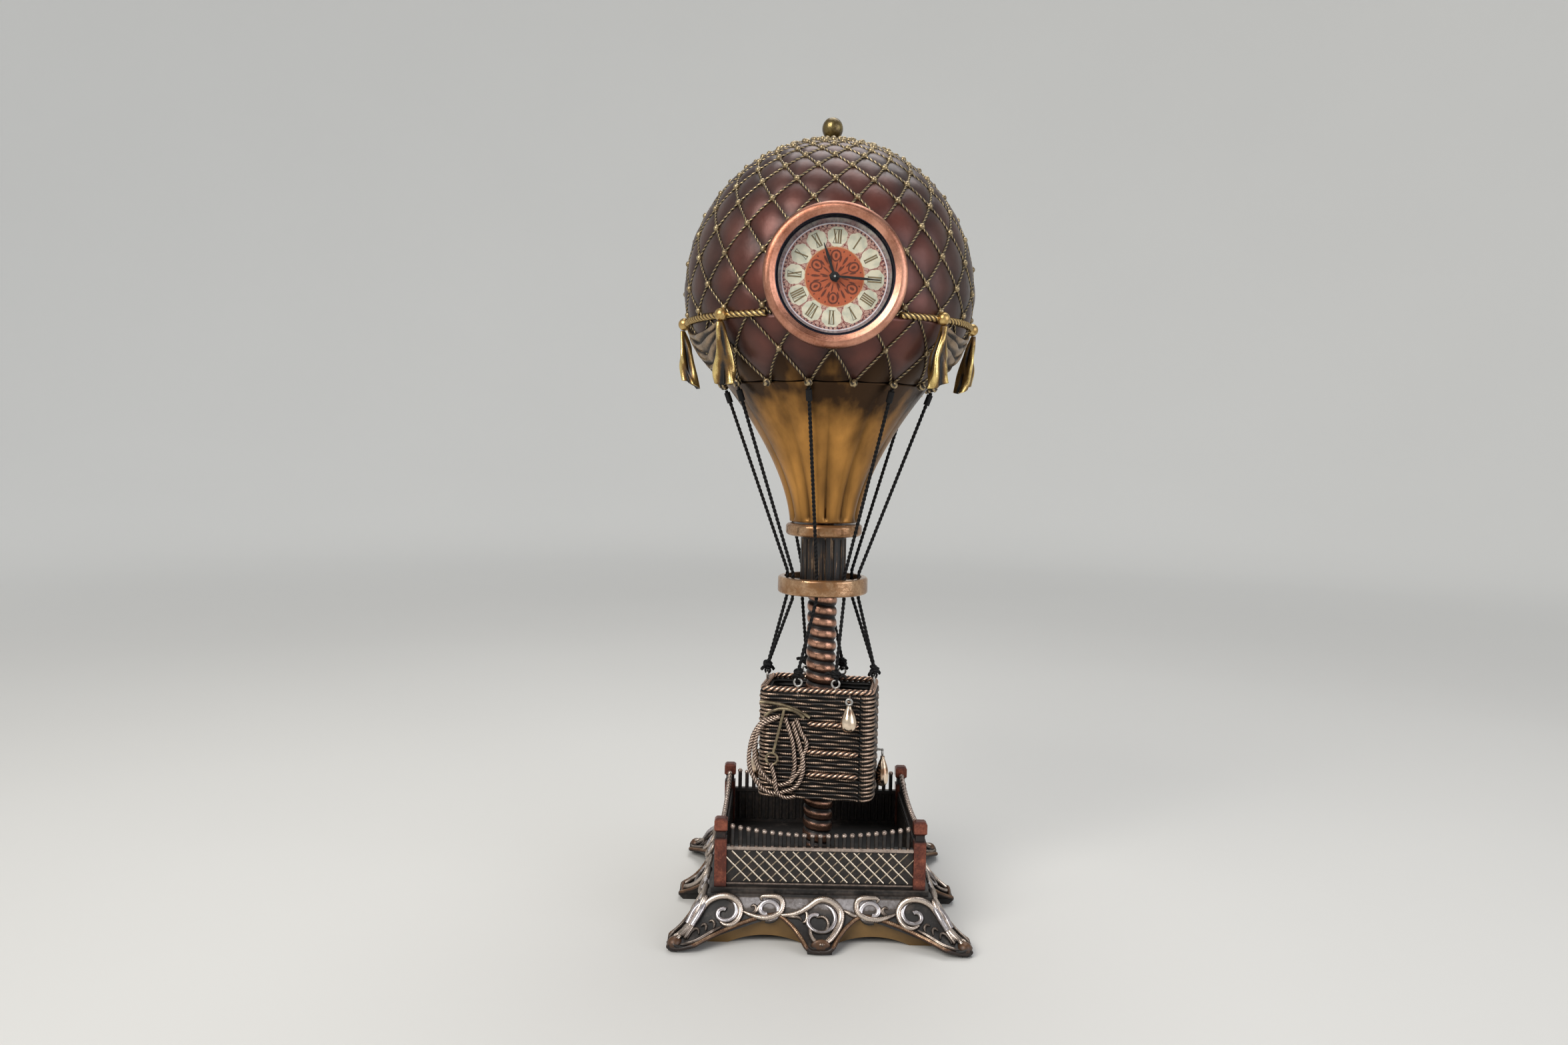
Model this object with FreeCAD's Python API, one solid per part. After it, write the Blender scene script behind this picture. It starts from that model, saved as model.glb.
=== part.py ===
import FreeCAD, Part
import math
import os

# A table clock in the shape of a hot-air balloon, cast in resin, with a small quartz clock in its front.
# Millimetres. Z is up, the dial faces -Y, and the origin is the middle of the underside.

# Sizes shared by the whole stack
fit_gap = 0.05
seat_gap = 0.1
overrun = 3.0
rod_radius = 2.0

# Base casting
foot_half = 44.0
foot_lip = 0.9
foot_edge = 2.4
foot_undercut = 0.9
deck_half = 33.5
skirt_top = 13.9
skirt_flare_across_share = 0.37
skirt_flare_up_share = 0.35
platform_inset = 0.9
platform_step = 1.5
deck_thickness = 5.0
band_out = 2.1
arch_peak_across = 12.6
arch_peak_height = 8.2
arch_toe_across = 3.6
arch_toe_height = 1.6
arch_foot_inset = 2.5
arch_foot_height = 1.2
arch_inner_across_share = 0.55
arch_inner_height_share = 0.66
arch_outer_across_share = 0.60
arch_outer_height_share = 0.62
tunnel_start = 5.0
tunnel_end = 27.0
tunnel_height = 2.4
base_wall = 2.5
platform_half = deck_half - platform_inset
platform_top = skirt_top + platform_step
deck_underside = platform_top - deck_thickness
band_half = deck_half + band_out
base_hollow_half = deck_half - base_wall
arch_foot_across = foot_half - arch_foot_inset

# Scrolls on the base's flared sides: each curl's middle as shares of the half width and of the flare's
# height, and its arcs from the inner end out, each a share of the curl's radius and a turn in degrees
scroll_radius = 0.75
scroll_stand = 0.25
foot_curl_radius = 3.2
foot_curl_middle_share = (-0.650, 0.520)
foot_curl_start_deg = 60.0
foot_curl_arc_shares = [(0.50, 180.0), (1.00, 190.0), (2.80, 90.0), (4.40, -8.0)]
cove_curl_radius = 2.8
cove_curl_middle_share = (-0.365, 0.660)
cove_curl_start_deg = 290.0
cove_curl_arc_shares = [(0.55, -140.0), (1.00, -260.0)]
middle_curl_radius = 4.2
middle_curl_middle_share = (-0.030, 0.400)
middle_curl_start_deg = 60.0
middle_curl_arc_shares = [(0.50, 150.0), (1.00, 250.0), (3.20, -25.0)]

# Fence and its corner posts
post_inset = 2.75
post_width = 3.6
post_body_height = 14.5
post_neck_width = 2.7
post_neck_height = 1.9
post_cap_width = 3.9
post_cap_height = 4.2
post_cap_bevel = 0.7
fence_height = 11.9
fence_wall = 1.4
fence_rail_depth = 2.2
fence_rail_height = 1.1
picket_count = 23
picket_end_gap = 1.6
picket_radius = 0.65
picket_ball_radius = 0.8
picket_end_height = 6.7
picket_middle_height = 4.1
post_middle = platform_half - post_inset
fence_top = platform_top + fence_height

# Ringed column in two lengths, on a steel tie rod
lower_column_length = 20.7
upper_column_length = 64.1
column_crest_radius = 4.8
column_core_radius = 3.9
column_ring_pitch = 3.7
rod_tail = 5.8
rod_grip = 5.1
washer_radius = 6.0
washer_thickness = 1.2
nut_across_flats = 7.0
nut_thickness = 3.2

# Wicker basket
basket_height = 33.7
basket_width = 36.6
basket_depth = 24.0
basket_corner = 4.0
basket_wall = 2.0
basket_floor = 2.0
basket_turn_deg = -8.0
weave_row_pitch = 1.45
weave_depth = 0.35
rim_rope_radius = 0.9
side_rope_radius = 0.75
side_rope_left = -2.4
side_rope_right = 13.6
side_rope_height_shares = [0.246, 0.460, 0.727]
eyelet_across = 5.95
eyelet_ring_radius = 1.2
eyelet_wire_radius = 0.35
eyelet_stem = 2.2
basket_bottom = platform_top + lower_column_length
basket_wall_top = basket_bottom + basket_height

# Ballast bags
front_bag_across = 10.7
front_bag_drop = 2.2
front_bag_length = 8.2
front_bag_radius = 2.6
side_bag_drop = 21.6
side_bag_length = 9.9
side_bag_radius = 2.2
bag_neck_radius = 0.7
bag_foot_radius = 0.6
bag_widest_share = 0.30
bag_hook_radius = 0.9
bag_hook_wire = 0.35

# Coiled anchor rope and grapnel
coil_across = -12.2
coil_middle_rise = 13.4
coil_width = 17.9
coil_height = 25.7
coil_strand_radius = 0.58
coil_step = 2.0
coil_turns = 3
anchor_crown_across = 2.5
anchor_crown_rise = 15.7
anchor_ring_across = -1.2
anchor_ring_rise = -0.4
anchor_shank_radius = 0.45
anchor_arm_radius = 0.5
anchor_arm_reach = 6.2
anchor_arm_drop = 2.6
anchor_back_arm_reach = 8.0
anchor_back_arm_rise = 1.6
anchor_ring_radius = 1.8
anchor_ring_wire = 0.38

# Load hoop, throat and mouth ring
hoop_inner_radius = 12.4
hoop_wall = 2.0
hoop_height = 5.3
hoop_drop = 1.6
hoop_round = 0.8
web_thickness = 2.0
cord_notch_radius = 1.3
cord_hoop_inset = 0.8
throat_radius = 7.3
throat_length = 14.8
throat_flute_radius = 0.5
throat_flute_count = 16
collar_radius = 12.2
collar_height = 3.9
collar_round = 1.2
web_bottom = basket_bottom + basket_floor + upper_column_length
web_top = web_bottom + web_thickness
hoop_bottom = web_bottom - hoop_drop
hoop_top = hoop_bottom + hoop_height
hoop_outer_radius = hoop_inner_radius + hoop_wall
cord_hoop_radius = hoop_inner_radius - cord_hoop_inset
collar_bottom = web_top + throat_length
collar_top = collar_bottom + collar_height

# Envelope: flared skirt below the seam, balloon above it
mouth_inset = 1.2
skirt_length = 44.1
seam_inset = 12.1
flare_power = 1.62
seam_to_equator = 27.4
equator_radius = 44.6
upper_rise = 47.3
crown_radius = 6.45
cap_overlap = 0.25
cap_thickness = 1.3
finial_neck_radius = 1.5
finial_neck_height = 0.9
finial_radius = 3.25
finial_height = 6.6
finial_tip_radius = 0.5
mouth_radius = collar_radius - mouth_inset
seam_radius = equator_radius - seam_inset
seam_height = collar_top + skirt_length
equator_height = seam_height + seam_to_equator
crown_height = equator_height + upper_rise * math.sqrt(1 - (crown_radius / equator_radius) ** 2)
cap_radius = crown_radius - cap_overlap
rod_top = collar_top + rod_grip
rod_bottom = deck_underside - rod_tail

# Rope band with knots, draped cloth and tails
band_above_seam = 18.0
band_rope_radius = 0.85
band_front_end_deg = 25.5
swag_knot_first_deg = 45.0
swag_knot_step_deg = 45.0
swag_knot_count = 7
swag_knot_radius = 2.0
swag_end_gap = 1.8
swag_top_droop = 3.6
swag_bottom_droop = 13.1
swag_end_depth = 1.8
swag_thickness = 1.6
swag_fold_count = 3
swag_fold_step_share = 0.25
tail_length = 18.0
tail_top_width = 2.6
tail_bottom_width = 6.8
tail_thickness = 0.9
tail_fold_depth = 1.5
tail_fold_count = 4
tail_top_out = 0.6
tail_bottom_in = 2.6
band_height = seam_height + band_above_seam

# Net beads and rigging
bead_count = 16
first_bead_deg = -11.25
bead_radius = 1.3
net_column_count = 20
net_row_height = 7.96
net_low_row_height = 9.5
net_cord_width = 0.8
net_cord_depth = 0.35
net_section_spacing = 6.0
cord_radius = 0.55
cord_count = 8
whipping_radius = 1.0
whipping_length = 3.4
cord_bend_length = 1.2
cord_bend_clearance = 1.3
knot_radius = 1.35
knot_loop_radius = 0.8
knot_loop_wire = 0.28
knot_tail_length = 3.6
knot_tail_radius = 0.45
knot_tail_rise_share = 0.2

# Clock insert: the depth values count back from the front of the bezel
clock_above_equator = 0.6
bezel_out = 3.6
bezel_radius = 20.2
bezel_crest_inset = 2.0
bezel_lip_depth = 0.9
bezel_rim_depth = 1.6
bezel_depth = 5.2
seat_boss_inset = 0.6
pocket_depth = 28.0
lens_radius = 16.9
lens_lap = 0.4
lens_front = 1.6
lens_thickness = 1.0
case_lap = 0.3
case_wall = 0.9
gasket_thickness = 0.8
gasket_from_bezel = 2.8
gasket_rib_pitch = 1.6
gasket_rib_count = 5
gasket_rib_depth = 0.4
reflector_lip = 0.35
reflector_wall = 1.3
dial_recess = 3.4
dial_thickness = 0.5
dial_hole_radius = 1.2
motion_room = 2.1
plate_thickness = 1.4
plate_rim = 1.1
train_room = 4.6
bridge_thickness = 1.0
pillar_radius = 0.9
pillar_inset = 1.65
pillar_angles_deg = [30.0, 150.0, 215.0, 325.0]
back_room = 1.8
case_back_rim = 1.4
case_back_plate = 1.0
knob_clearance = 0.4
battery_radius = 3.95
battery_up = 10.4
battery_thickness = 3.6
battery_clearance = 0.2
contact_width = 3.0
contact_half_length = 5.8
contact_thickness = 0.18
board_inset = 3.15
board_bottom = 5.2
board_rise = 0.8
coil_bobbin_down = 11.6
coil_bobbin_rise = 2.4
coil_winding_radius = 1.6
coil_flange_radius = 2.0
coil_flange_thickness = 0.5
coil_half_length = 4.6
coil_core_radius = 0.6
stator_rise = 0.3
stator_thickness = 0.6
stator_hole_gap = 0.3
stator_pole_half = 2.3
stator_leg_width = 1.3
bezel_front = -(equator_radius + bezel_out)
clock_height = equator_height + clock_above_equator
bezel_opening = lens_radius - lens_lap
bezel_crest_radius = bezel_radius - bezel_crest_inset
seat_boss_radius = bezel_radius - seat_boss_inset
case_radius = lens_radius + case_lap
gasket_radius = case_radius + gasket_thickness
pocket_radius = gasket_radius + seat_gap
gasket_start = bezel_depth + gasket_from_bezel
lens_back = lens_front + lens_thickness
dial_front = lens_back + dial_recess
dial_back = dial_front + dial_thickness
plate_front = dial_back + motion_room
plate_back = plate_front + plate_thickness
bridge_front = plate_back + train_room
bridge_back = bridge_front + bridge_thickness
case_back_front = bridge_back + back_room
case_back_end = case_back_front + case_back_rim
case_inner_radius = case_radius - case_wall
reflector_front_radius = case_inner_radius - fit_gap - reflector_lip
reflector_back_radius = case_inner_radius - fit_gap - reflector_wall
pillar_circle_radius = case_inner_radius - fit_gap - pillar_inset
battery_front = plate_back + board_rise
battery_back = battery_front + battery_thickness

# Hands and motion work
hour_angle_deg = -18.9
minute_angle_deg = 94.5
hour_hand_length = 9.8
minute_hand_length = 12.7
hand_tail_length = 1.6
hand_thickness = 0.2
hour_hand_rise = 1.0
minute_hand_rise = 1.1
cannon_nose = 0.3
hour_hand_half_width = 0.45
minute_hand_half_width = 0.38
hand_root_half_width = 0.26
hand_tip_half_width = 0.1
hand_belly_share = 0.62
hour_boss_radius = 1.4
minute_boss_radius = 0.95
cannon_radius = 0.58
hour_tube_radius = 1.0
motion_module_fast = 0.25
motion_module_slow = 0.24
cannon_teeth = 12
minute_wheel_teeth = 36
minute_pinion_teeth = 10
hour_wheel_teeth = 40
motion_first_room = 0.65
motion_slow_thickness = 0.5
motion_level_gap = 0.3
motion_fast_thickness = 0.45
setting_direction_deg = -20.0
setting_arbor_radius = 0.55
setting_arbor_nose = 0.25
knob_radius = 3.0
knob_from_bridge = 1.0
knob_length = 4.0
knob_groove_count = 12
knob_groove_radius = 0.35
hour_hand_front = dial_front - hour_hand_rise
minute_hand_front = hour_hand_front - minute_hand_rise
cannon_front = minute_hand_front - cannon_nose
motion_slow_front = dial_back + motion_first_room
motion_slow_back = motion_slow_front + motion_slow_thickness
motion_fast_front = motion_slow_back + motion_level_gap
motion_fast_back = motion_fast_front + motion_fast_thickness
setting_arbor_front = motion_slow_front - setting_arbor_nose
knob_front = bridge_back + knob_from_bridge

# Going train, between the plates
train_module = 0.12
train_arbor_radius = 0.3
pivot_gap = 0.06
train_wheel_thickness = 0.3
train_pinion_teeth = 8
centre_wheel_teeth = 64
third_wheel_teeth = 60
seconds_wheel_teeth = 48
step_wheel_teeth = 40
train_first_rise = 1.2
train_level_step = 0.75
third_direction_deg = 150.0
seconds_direction_deg = 60.0
step_direction_deg = 0.0
rotor_direction_deg = 20.0
rotor_magnet_radius = 1.3
rotor_magnet_rise = 0.25
rotor_magnet_thickness = 0.8
tooth_root_share = 1.15
tooth_tip_share = 0.85
tooth_root_width_share = 0.34
tooth_tip_width_share = 0.13
pivot_hole_radius = train_arbor_radius + pivot_gap
centre_level = plate_back + train_first_rise
third_level = centre_level + train_level_step
seconds_level = third_level + train_level_step
step_level = seconds_level + train_level_step

ORIGIN = FreeCAD.Vector(0, 0, 0)
UP = FreeCAD.Vector(0, 0, 1)
ACROSS = FreeCAD.Vector(1, 0, 0)
BACKWARD = FreeCAD.Vector(0, 1, 0)


def point(x, y, z):
    return FreeCAD.Vector(x, y, z)


def on_circle(radius, angle_deg, z=0.0):
    angle = math.radians(angle_deg)
    return point(radius * math.cos(angle), radius * math.sin(angle), z)


def round_balloon(radius, azimuth_deg, z=0.0):
    """A place at an azimuth that counts from the front and grows towards +X."""
    azimuth = math.radians(azimuth_deg)
    return point(radius * math.sin(azimuth), -radius * math.cos(azimuth), z)


def scaled(vector, factor):
    return point(vector.x * factor, vector.y * factor, vector.z * factor)


def moved(shape, offset):
    copy = shape.copy()
    copy.translate(offset)
    return copy


def turned(shape, angle_deg, axis=UP, centre=ORIGIN):
    copy = shape.copy()
    copy.rotate(centre, axis, angle_deg)
    return copy


def box(low, high):
    size = high.sub(low)
    return Part.makeBox(size.x, size.y, size.z, low)


def rod(radius, start, end):
    along = end.sub(start)
    return Part.makeCylinder(radius, along.Length, start, along)


def tube(outer, inner, low, high):
    return rod(outer, low, high).cut(rod(inner, low, high))


def ring(radius, wire_radius, centre, axis):
    return Part.makeTorus(radius, wire_radius, centre, axis)


def outline(place, start, steps):
    """A face whose edge runs from start through each step: a point, or an arc's middle and end."""
    edges = []
    here = start
    for step in steps + [start]:
        if isinstance(step[0], tuple):
            middle, end = step
            edges.append(Part.Arc(place(here), place(middle), place(end)).toShape())
        else:
            end = step
            if end != here:
                edges.append(Part.makeLine(place(here), place(end)))
        here = end
    return Part.Face(Part.Wire(edges))


def profile(pair):
    """A point of a lathe profile: distance from the axis, then height."""
    return point(pair[0], 0, pair[1])


def lathe(face, angle_deg=360.0):
    return face.revolve(ORIGIN, UP, angle_deg)


def lathe_outline(start, steps):
    return lathe(outline(profile, start, steps))


def swept(edges, start, direction, radius):
    """A round tube along a path of lines and arcs."""
    section = Part.Wire(Part.Circle(start, direction, radius).toShape())
    return Part.Wire(edges).makePipeShell([section], True, False)


def joined(shapes):
    return shapes[0].multiFuse(shapes[1:]).removeSplitter()


def group(shapes):
    return Part.makeCompound(shapes)


def single(shape):
    """The one solid of a finished piece."""
    if len(shape.Solids) == 1:
        return shape.Solids[0]
    return shape


# Base casting

def skirt_profile(pair):
    return point(0, pair[0], pair[1])


def base_casting():
    foot_bottom_half = foot_half - foot_undercut
    flare_across, flare_up = flare_points()[1]
    section = outline(skirt_profile, (-foot_bottom_half, 0.0), [
        (foot_bottom_half, 0.0),
        (foot_half, foot_lip),
        (foot_half, foot_edge),
        ((flare_across, flare_up), (deck_half, skirt_top)),
        (-deck_half, skirt_top),
        ((-flare_across, flare_up), (-foot_half, foot_edge)),
        (-foot_half, foot_lip)])
    prism = moved(section, point(-foot_half, 0, 0)).extrude(point(2 * foot_half, 0, 0))
    skirt = prism.common(turned(prism, 90))
    platform = box(point(-platform_half, -platform_half, deck_underside),
                   point(platform_half, platform_half, platform_top))
    arches = []
    tunnels = []
    for side in range(4):
        for mirrored in (-1, 1):
            arches.append(turned(scroll_arch(mirrored), 90 * side))
        tunnels.append(turned(edge_tunnel(), 90 * side))
    hollow = box(point(-base_hollow_half, -base_hollow_half, -overrun),
                 point(base_hollow_half, base_hollow_half, deck_underside))
    bore = rod(rod_radius + fit_gap, ORIGIN, point(0, 0, platform_top + overrun))
    casting = joined([skirt, platform])
    casting = casting.cut(arches + tunnels + [hollow, bore]).removeSplitter()
    for scroll in base_scrolls():
        casting = casting.fuse(scroll)
    return single(casting)


def flare_points():
    """Three points of the hollow flare: distance from the middle, and height."""
    flare_across = deck_half + skirt_flare_across_share * (foot_half - deck_half)
    flare_up = foot_edge + skirt_flare_up_share * (skirt_top - foot_edge)
    return (foot_half, foot_edge), (flare_across, flare_up), (deck_half, skirt_top)


def curl(middle_share, radius, start_deg, arc_shares):
    """A round stroke of arcs that run on from one another, in the plane that touches the flare at its middle."""
    flare = Part.Arc(*[skirt_profile(pair) for pair in flare_points()]).toShape().Curve
    up = flare.Center.z - foot_edge - middle_share[1] * (skirt_top - foot_edge)
    outward = point(0, -math.sqrt(flare.Radius ** 2 - up ** 2), up).normalize()
    slope = point(0, outward.z, -outward.y)
    flare_middle = point(middle_share[0] * foot_half, -flare.Center.y, flare.Center.z)
    touch = flare_middle.sub(scaled(outward, flare.Radius - scroll_stand))

    def place(centre, reach, angle_deg):
        angle = math.radians(angle_deg)
        across = centre[0] + reach * math.cos(angle)
        along = centre[1] + reach * math.sin(angle)
        return touch.add(point(across, 0, 0)).add(scaled(slope, along))

    edges = []
    centre = (0.0, 0.0)
    angle_deg = start_deg
    last_reach = last_turn = 0.0
    for share, turn_deg in arc_shares:
        reach = share * radius
        if edges:
            angle = math.radians(angle_deg)
            step = last_reach - reach if last_turn * turn_deg > 0 else last_reach + reach
            centre = (centre[0] + step * math.cos(angle), centre[1] + step * math.sin(angle))
            angle_deg += 0.0 if last_turn * turn_deg > 0 else 180.0
        places = [place(centre, reach, angle_deg + turn_deg * along) for along in (0, 0.5, 1)]
        edges.append(Part.Arc(*places).toShape())
        angle_deg += turn_deg
        last_reach, last_turn = reach, turn_deg
    first = edges[0]
    start = first.valueAt(first.FirstParameter)
    return single(swept(edges, start, first.tangentAt(first.FirstParameter), scroll_radius))


def base_scrolls():
    """The main scrolls of all four sides: one at each foot, one on each side of the middle, and one there."""
    foot_curl = curl(foot_curl_middle_share, foot_curl_radius, foot_curl_start_deg, foot_curl_arc_shares)
    cove_curl = curl(cove_curl_middle_share, cove_curl_radius, cove_curl_start_deg, cove_curl_arc_shares)
    middle_curl = curl(middle_curl_middle_share, middle_curl_radius, middle_curl_start_deg,
                       middle_curl_arc_shares)
    strokes = [foot_curl, cove_curl, middle_curl, foot_curl.mirror(ORIGIN, ACROSS),
               cove_curl.mirror(ORIGIN, ACROSS)]
    return [turned(stroke, 90 * side) for side in range(4) for stroke in strokes]


def scroll_arch(mirrored):
    """The space under one arch of the ornate edge, in front of the plain band."""
    inner_across = arch_toe_across + arch_inner_across_share * (arch_peak_across - arch_toe_across)
    inner_height = arch_toe_height + arch_inner_height_share * (arch_peak_height - arch_toe_height)
    outer_across = arch_peak_across + arch_outer_across_share * (arch_foot_across - arch_peak_across)
    outer_height = arch_foot_height + (1 - arch_outer_height_share) * (arch_peak_height - arch_foot_height)

    def place(pair):
        return point(mirrored * pair[0], -band_half, pair[1])

    face = outline(place, (arch_toe_across, -overrun), [
        (arch_toe_across, arch_toe_height),
        ((inner_across, inner_height), (arch_peak_across, arch_peak_height)),
        ((outer_across, outer_height), (arch_foot_across, arch_foot_height)),
        (arch_foot_across, -overrun)])
    return face.extrude(point(0, -(foot_half - band_half + overrun), 0))


def edge_tunnel():
    """The two low openings that the floor shows through, in one side's wall."""
    tunnels = []
    middle = (tunnel_start + tunnel_end) / 2
    for mirrored in (-1, 1):
        def place(pair):
            return point(mirrored * pair[0], -foot_half - overrun, pair[1])

        face = outline(place, (tunnel_start, -overrun), [
            (tunnel_start, 0.0),
            ((middle, tunnel_height), (tunnel_end, 0.0)),
            (tunnel_end, -overrun)])
        tunnels.append(face.extrude(point(0, foot_half + overrun - base_hollow_half, 0)))
    return group(tunnels)


# Fence

def corner_post():
    def square(width, low, high):
        return box(point(-width / 2, -width / 2, low), point(width / 2, width / 2, high))

    body_top = platform_top + post_body_height
    neck_top = body_top + post_neck_height
    cap = square(post_cap_width, neck_top, neck_top + post_cap_height)
    cap_middle = neck_top + post_cap_height / 2
    level_edges = [edge for edge in cap.Edges if abs(edge.CenterOfMass.z - cap_middle) > post_cap_bevel]
    cap = cap.makeChamfer(post_cap_bevel, level_edges)
    return single(joined([square(post_width, platform_top, body_top),
                          square(post_neck_width, body_top, neck_top), cap]))


def corner_posts():
    return group([moved(corner_post(), point(post_middle * x, post_middle * y, 0))
                  for x in (-1, 1) for y in (-1, 1)])


def fence_panel():
    half_length = post_middle - post_width / 2 - fit_gap
    pieces = [box(point(-half_length, -fence_wall / 2, platform_top),
                  point(half_length, fence_wall / 2, fence_top))]
    for top in (platform_top + fence_rail_height, fence_top):
        pieces.append(box(point(-half_length, -fence_rail_depth / 2, top - fence_rail_height),
                          point(half_length, fence_rail_depth / 2, top)))
    last = (picket_count - 1) / 2
    for index in range(picket_count):
        place = (index - last) / last
        across = place * (half_length - picket_end_gap)
        top = fence_top + picket_middle_height + (picket_end_height - picket_middle_height) * place ** 2
        ball = point(across, 0, top - picket_ball_radius)
        foot = point(across, 0, fence_top - fence_rail_height / 2)
        pieces.append(rod(picket_radius, foot, ball))
        pieces.append(Part.makeSphere(picket_ball_radius, ball))
    return single(moved(joined(pieces), point(0, -post_middle, 0)))


# Column and its tie rod

def ringed_column(low, high):
    ring_count = round((high - low) / column_ring_pitch)
    pitch = (high - low) / ring_count
    steps = [(column_core_radius, low)]
    for index in range(ring_count):
        foot = low + index * pitch
        steps.append(((column_crest_radius, foot + pitch / 2), (column_core_radius, foot + pitch)))
    bore = rod_radius + fit_gap
    return single(lathe_outline((bore, low), steps + [(bore, high)]))


def rod_nut():
    corner_radius = nut_across_flats / math.sqrt(3)
    top = deck_underside - washer_thickness
    corners = [on_circle(corner_radius, 60 * index, top - nut_thickness) for index in range(7)]
    hexagon = Part.Face(Part.makePolygon(corners)).extrude(point(0, 0, nut_thickness))
    return single(hexagon.cut(rod(rod_radius + fit_gap, ORIGIN, point(0, 0, top + overrun))))


# Basket

def round_box_sweep(section, width, depth, corner):
    """Carries a section round a box with rounded corners. It stands in the XZ plane,
    measured out from the corner's centre."""
    half_x = width / 2 - corner
    half_y = depth / 2 - corner
    pieces = []
    for quarter in range(4):
        turn = 90 * quarter
        run = 2 * (half_y if quarter % 2 == 0 else half_x)
        start = point(half_x if quarter in (0, 1) else -half_x,
                      half_y if quarter in (1, 2) else -half_y, 0)
        face = moved(turned(section, turn), start)
        pieces.append(face.extrude(on_circle(run, turn + 90)))
        end = start.add(on_circle(run, turn + 90))
        corner_face = moved(turned(section, turn), end)
        pieces.append(corner_face.revolve(end, UP, 90))
    return joined(pieces)


def basket_place(across, back, z):
    """A place on the basket, which stands a little turned on the column."""
    return turned(Part.Vertex(across, back, z), basket_turn_deg).Point


def woven_wall():
    outer = basket_corner
    inner = basket_corner - basket_wall
    row_count = round((basket_wall_top - basket_bottom) / weave_row_pitch)
    pitch = (basket_wall_top - basket_bottom) / row_count
    steps = [(outer - weave_depth, basket_bottom)]
    for index in range(row_count):
        foot = basket_bottom + index * pitch
        steps.append(((outer, foot + pitch / 2), (outer - weave_depth, foot + pitch)))
    section = outline(profile, (inner, basket_bottom), steps + [(inner, basket_wall_top)])
    return round_box_sweep(section, basket_width, basket_depth, basket_corner)


def basket_body():
    half_x = basket_width / 2 - basket_wall
    half_y = basket_depth / 2 - basket_wall
    floor = box(point(-half_x, -half_y, basket_bottom), point(half_x, half_y, basket_bottom + basket_floor))
    body = joined([woven_wall(), floor])
    body = body.cut(rod(rod_radius + fit_gap, ORIGIN, point(0, 0, basket_bottom + basket_floor + overrun)))
    stems = [eyelet_stem_hole(place) for place in eyelet_places()]
    return turned(single(body.cut(stems)), basket_turn_deg)


def rim_height():
    return basket_wall_top + rim_rope_radius + fit_gap


def basket_rim_rope():
    middle = basket_corner - basket_wall / 2
    section = Part.Face(Part.Wire(Part.Circle(point(middle, 0, rim_height()), BACKWARD,
                                              rim_rope_radius).toShape()))
    rope = round_box_sweep(section, basket_width, basket_depth, basket_corner)
    rope = rope.cut([eyelet_stem_hole(place) for place in eyelet_places()])
    return turned(single(rope), basket_turn_deg)


def eyelet_places():
    """Across, back, and the turn of each eyelet, before the basket is turned."""
    half_x = (basket_width - basket_wall) / 2
    half_y = (basket_depth - basket_wall) / 2
    return [(-eyelet_across, -half_y, 0), (eyelet_across, -half_y, 0),
            (-eyelet_across, half_y, 0), (eyelet_across, half_y, 0),
            (-half_x, 0.0, 90), (half_x, 0.0, 90)]


def eyelet_height():
    return rim_height() + rim_rope_radius + eyelet_ring_radius + eyelet_wire_radius


def eyelet_stem_hole(place):
    across, back, turn = place
    top = eyelet_height()
    return rod(eyelet_wire_radius + fit_gap, point(across, back, rim_height() - eyelet_stem - fit_gap),
               point(across, back, top))


def eyelets():
    pieces = []
    for across, back, turn in eyelet_places():
        centre = point(across, back, eyelet_height())
        stem = rod(eyelet_wire_radius, point(across, back, rim_height() - eyelet_stem),
                   point(across, back, eyelet_height() - eyelet_ring_radius))
        loop = ring(eyelet_ring_radius, eyelet_wire_radius, centre, turned_axis(turn))
        pieces.append(turned(single(joined([stem, loop])), basket_turn_deg))
    return group(pieces)


def turned_axis(turn_deg):
    """The level axis that a ring faces along."""
    return turned(Part.Vertex(0, 1, 0), turn_deg).Point


def basket_ropes():
    out = basket_depth / 2 + side_rope_radius + fit_gap
    ropes = []
    for share in side_rope_height_shares:
        height = basket_bottom + share * basket_height
        rope = rod(side_rope_radius, point(side_rope_left, -out, height),
                   point(side_rope_right, -out, height))
        ropes.append(turned(rope, basket_turn_deg))
        ropes.append(turned(rope, basket_turn_deg + 180))
    return group(ropes)


# Ballast bags

def bag(radius, top, length):
    widest = top - length * (1 - bag_widest_share)
    bottom = top - length
    shoulder_radius = (radius + bag_neck_radius) / 2
    bulge = math.sin(math.radians(45))
    return lathe_outline((0.0, bottom), [
        (bag_foot_radius, bottom),
        ((bag_foot_radius + (radius - bag_foot_radius) * bulge, bottom + (widest - bottom) * (1 - bulge)),
         (radius, widest)),
        ((shoulder_radius + bag_neck_radius / 2, (widest + top) / 2), (bag_neck_radius, top)),
        (0.0, top)])


def bag_hangers():
    """Across, back, bag radius, bag top and bag length of each hanger, before the basket is turned."""
    front = basket_depth / 2 + 2 * side_rope_radius + front_bag_radius + seat_gap
    side = basket_width / 2 + side_bag_radius + seat_gap
    front_top = basket_wall_top - front_bag_drop
    side_top = basket_wall_top - side_bag_drop
    return [(front_bag_across, -front, front_bag_radius, front_top, front_bag_length),
            (-front_bag_across, front, front_bag_radius, front_top, front_bag_length),
            (side, 0.0, side_bag_radius, side_top, side_bag_length),
            (-side, 0.0, side_bag_radius, side_top, side_bag_length)]


def sandbags():
    bags = []
    for across, back, radius, top, length in bag_hangers():
        hung = moved(single(bag(radius, top, length)), point(across, back, 0))
        bags.append(turned(hung, basket_turn_deg))
    return group(bags)


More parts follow.
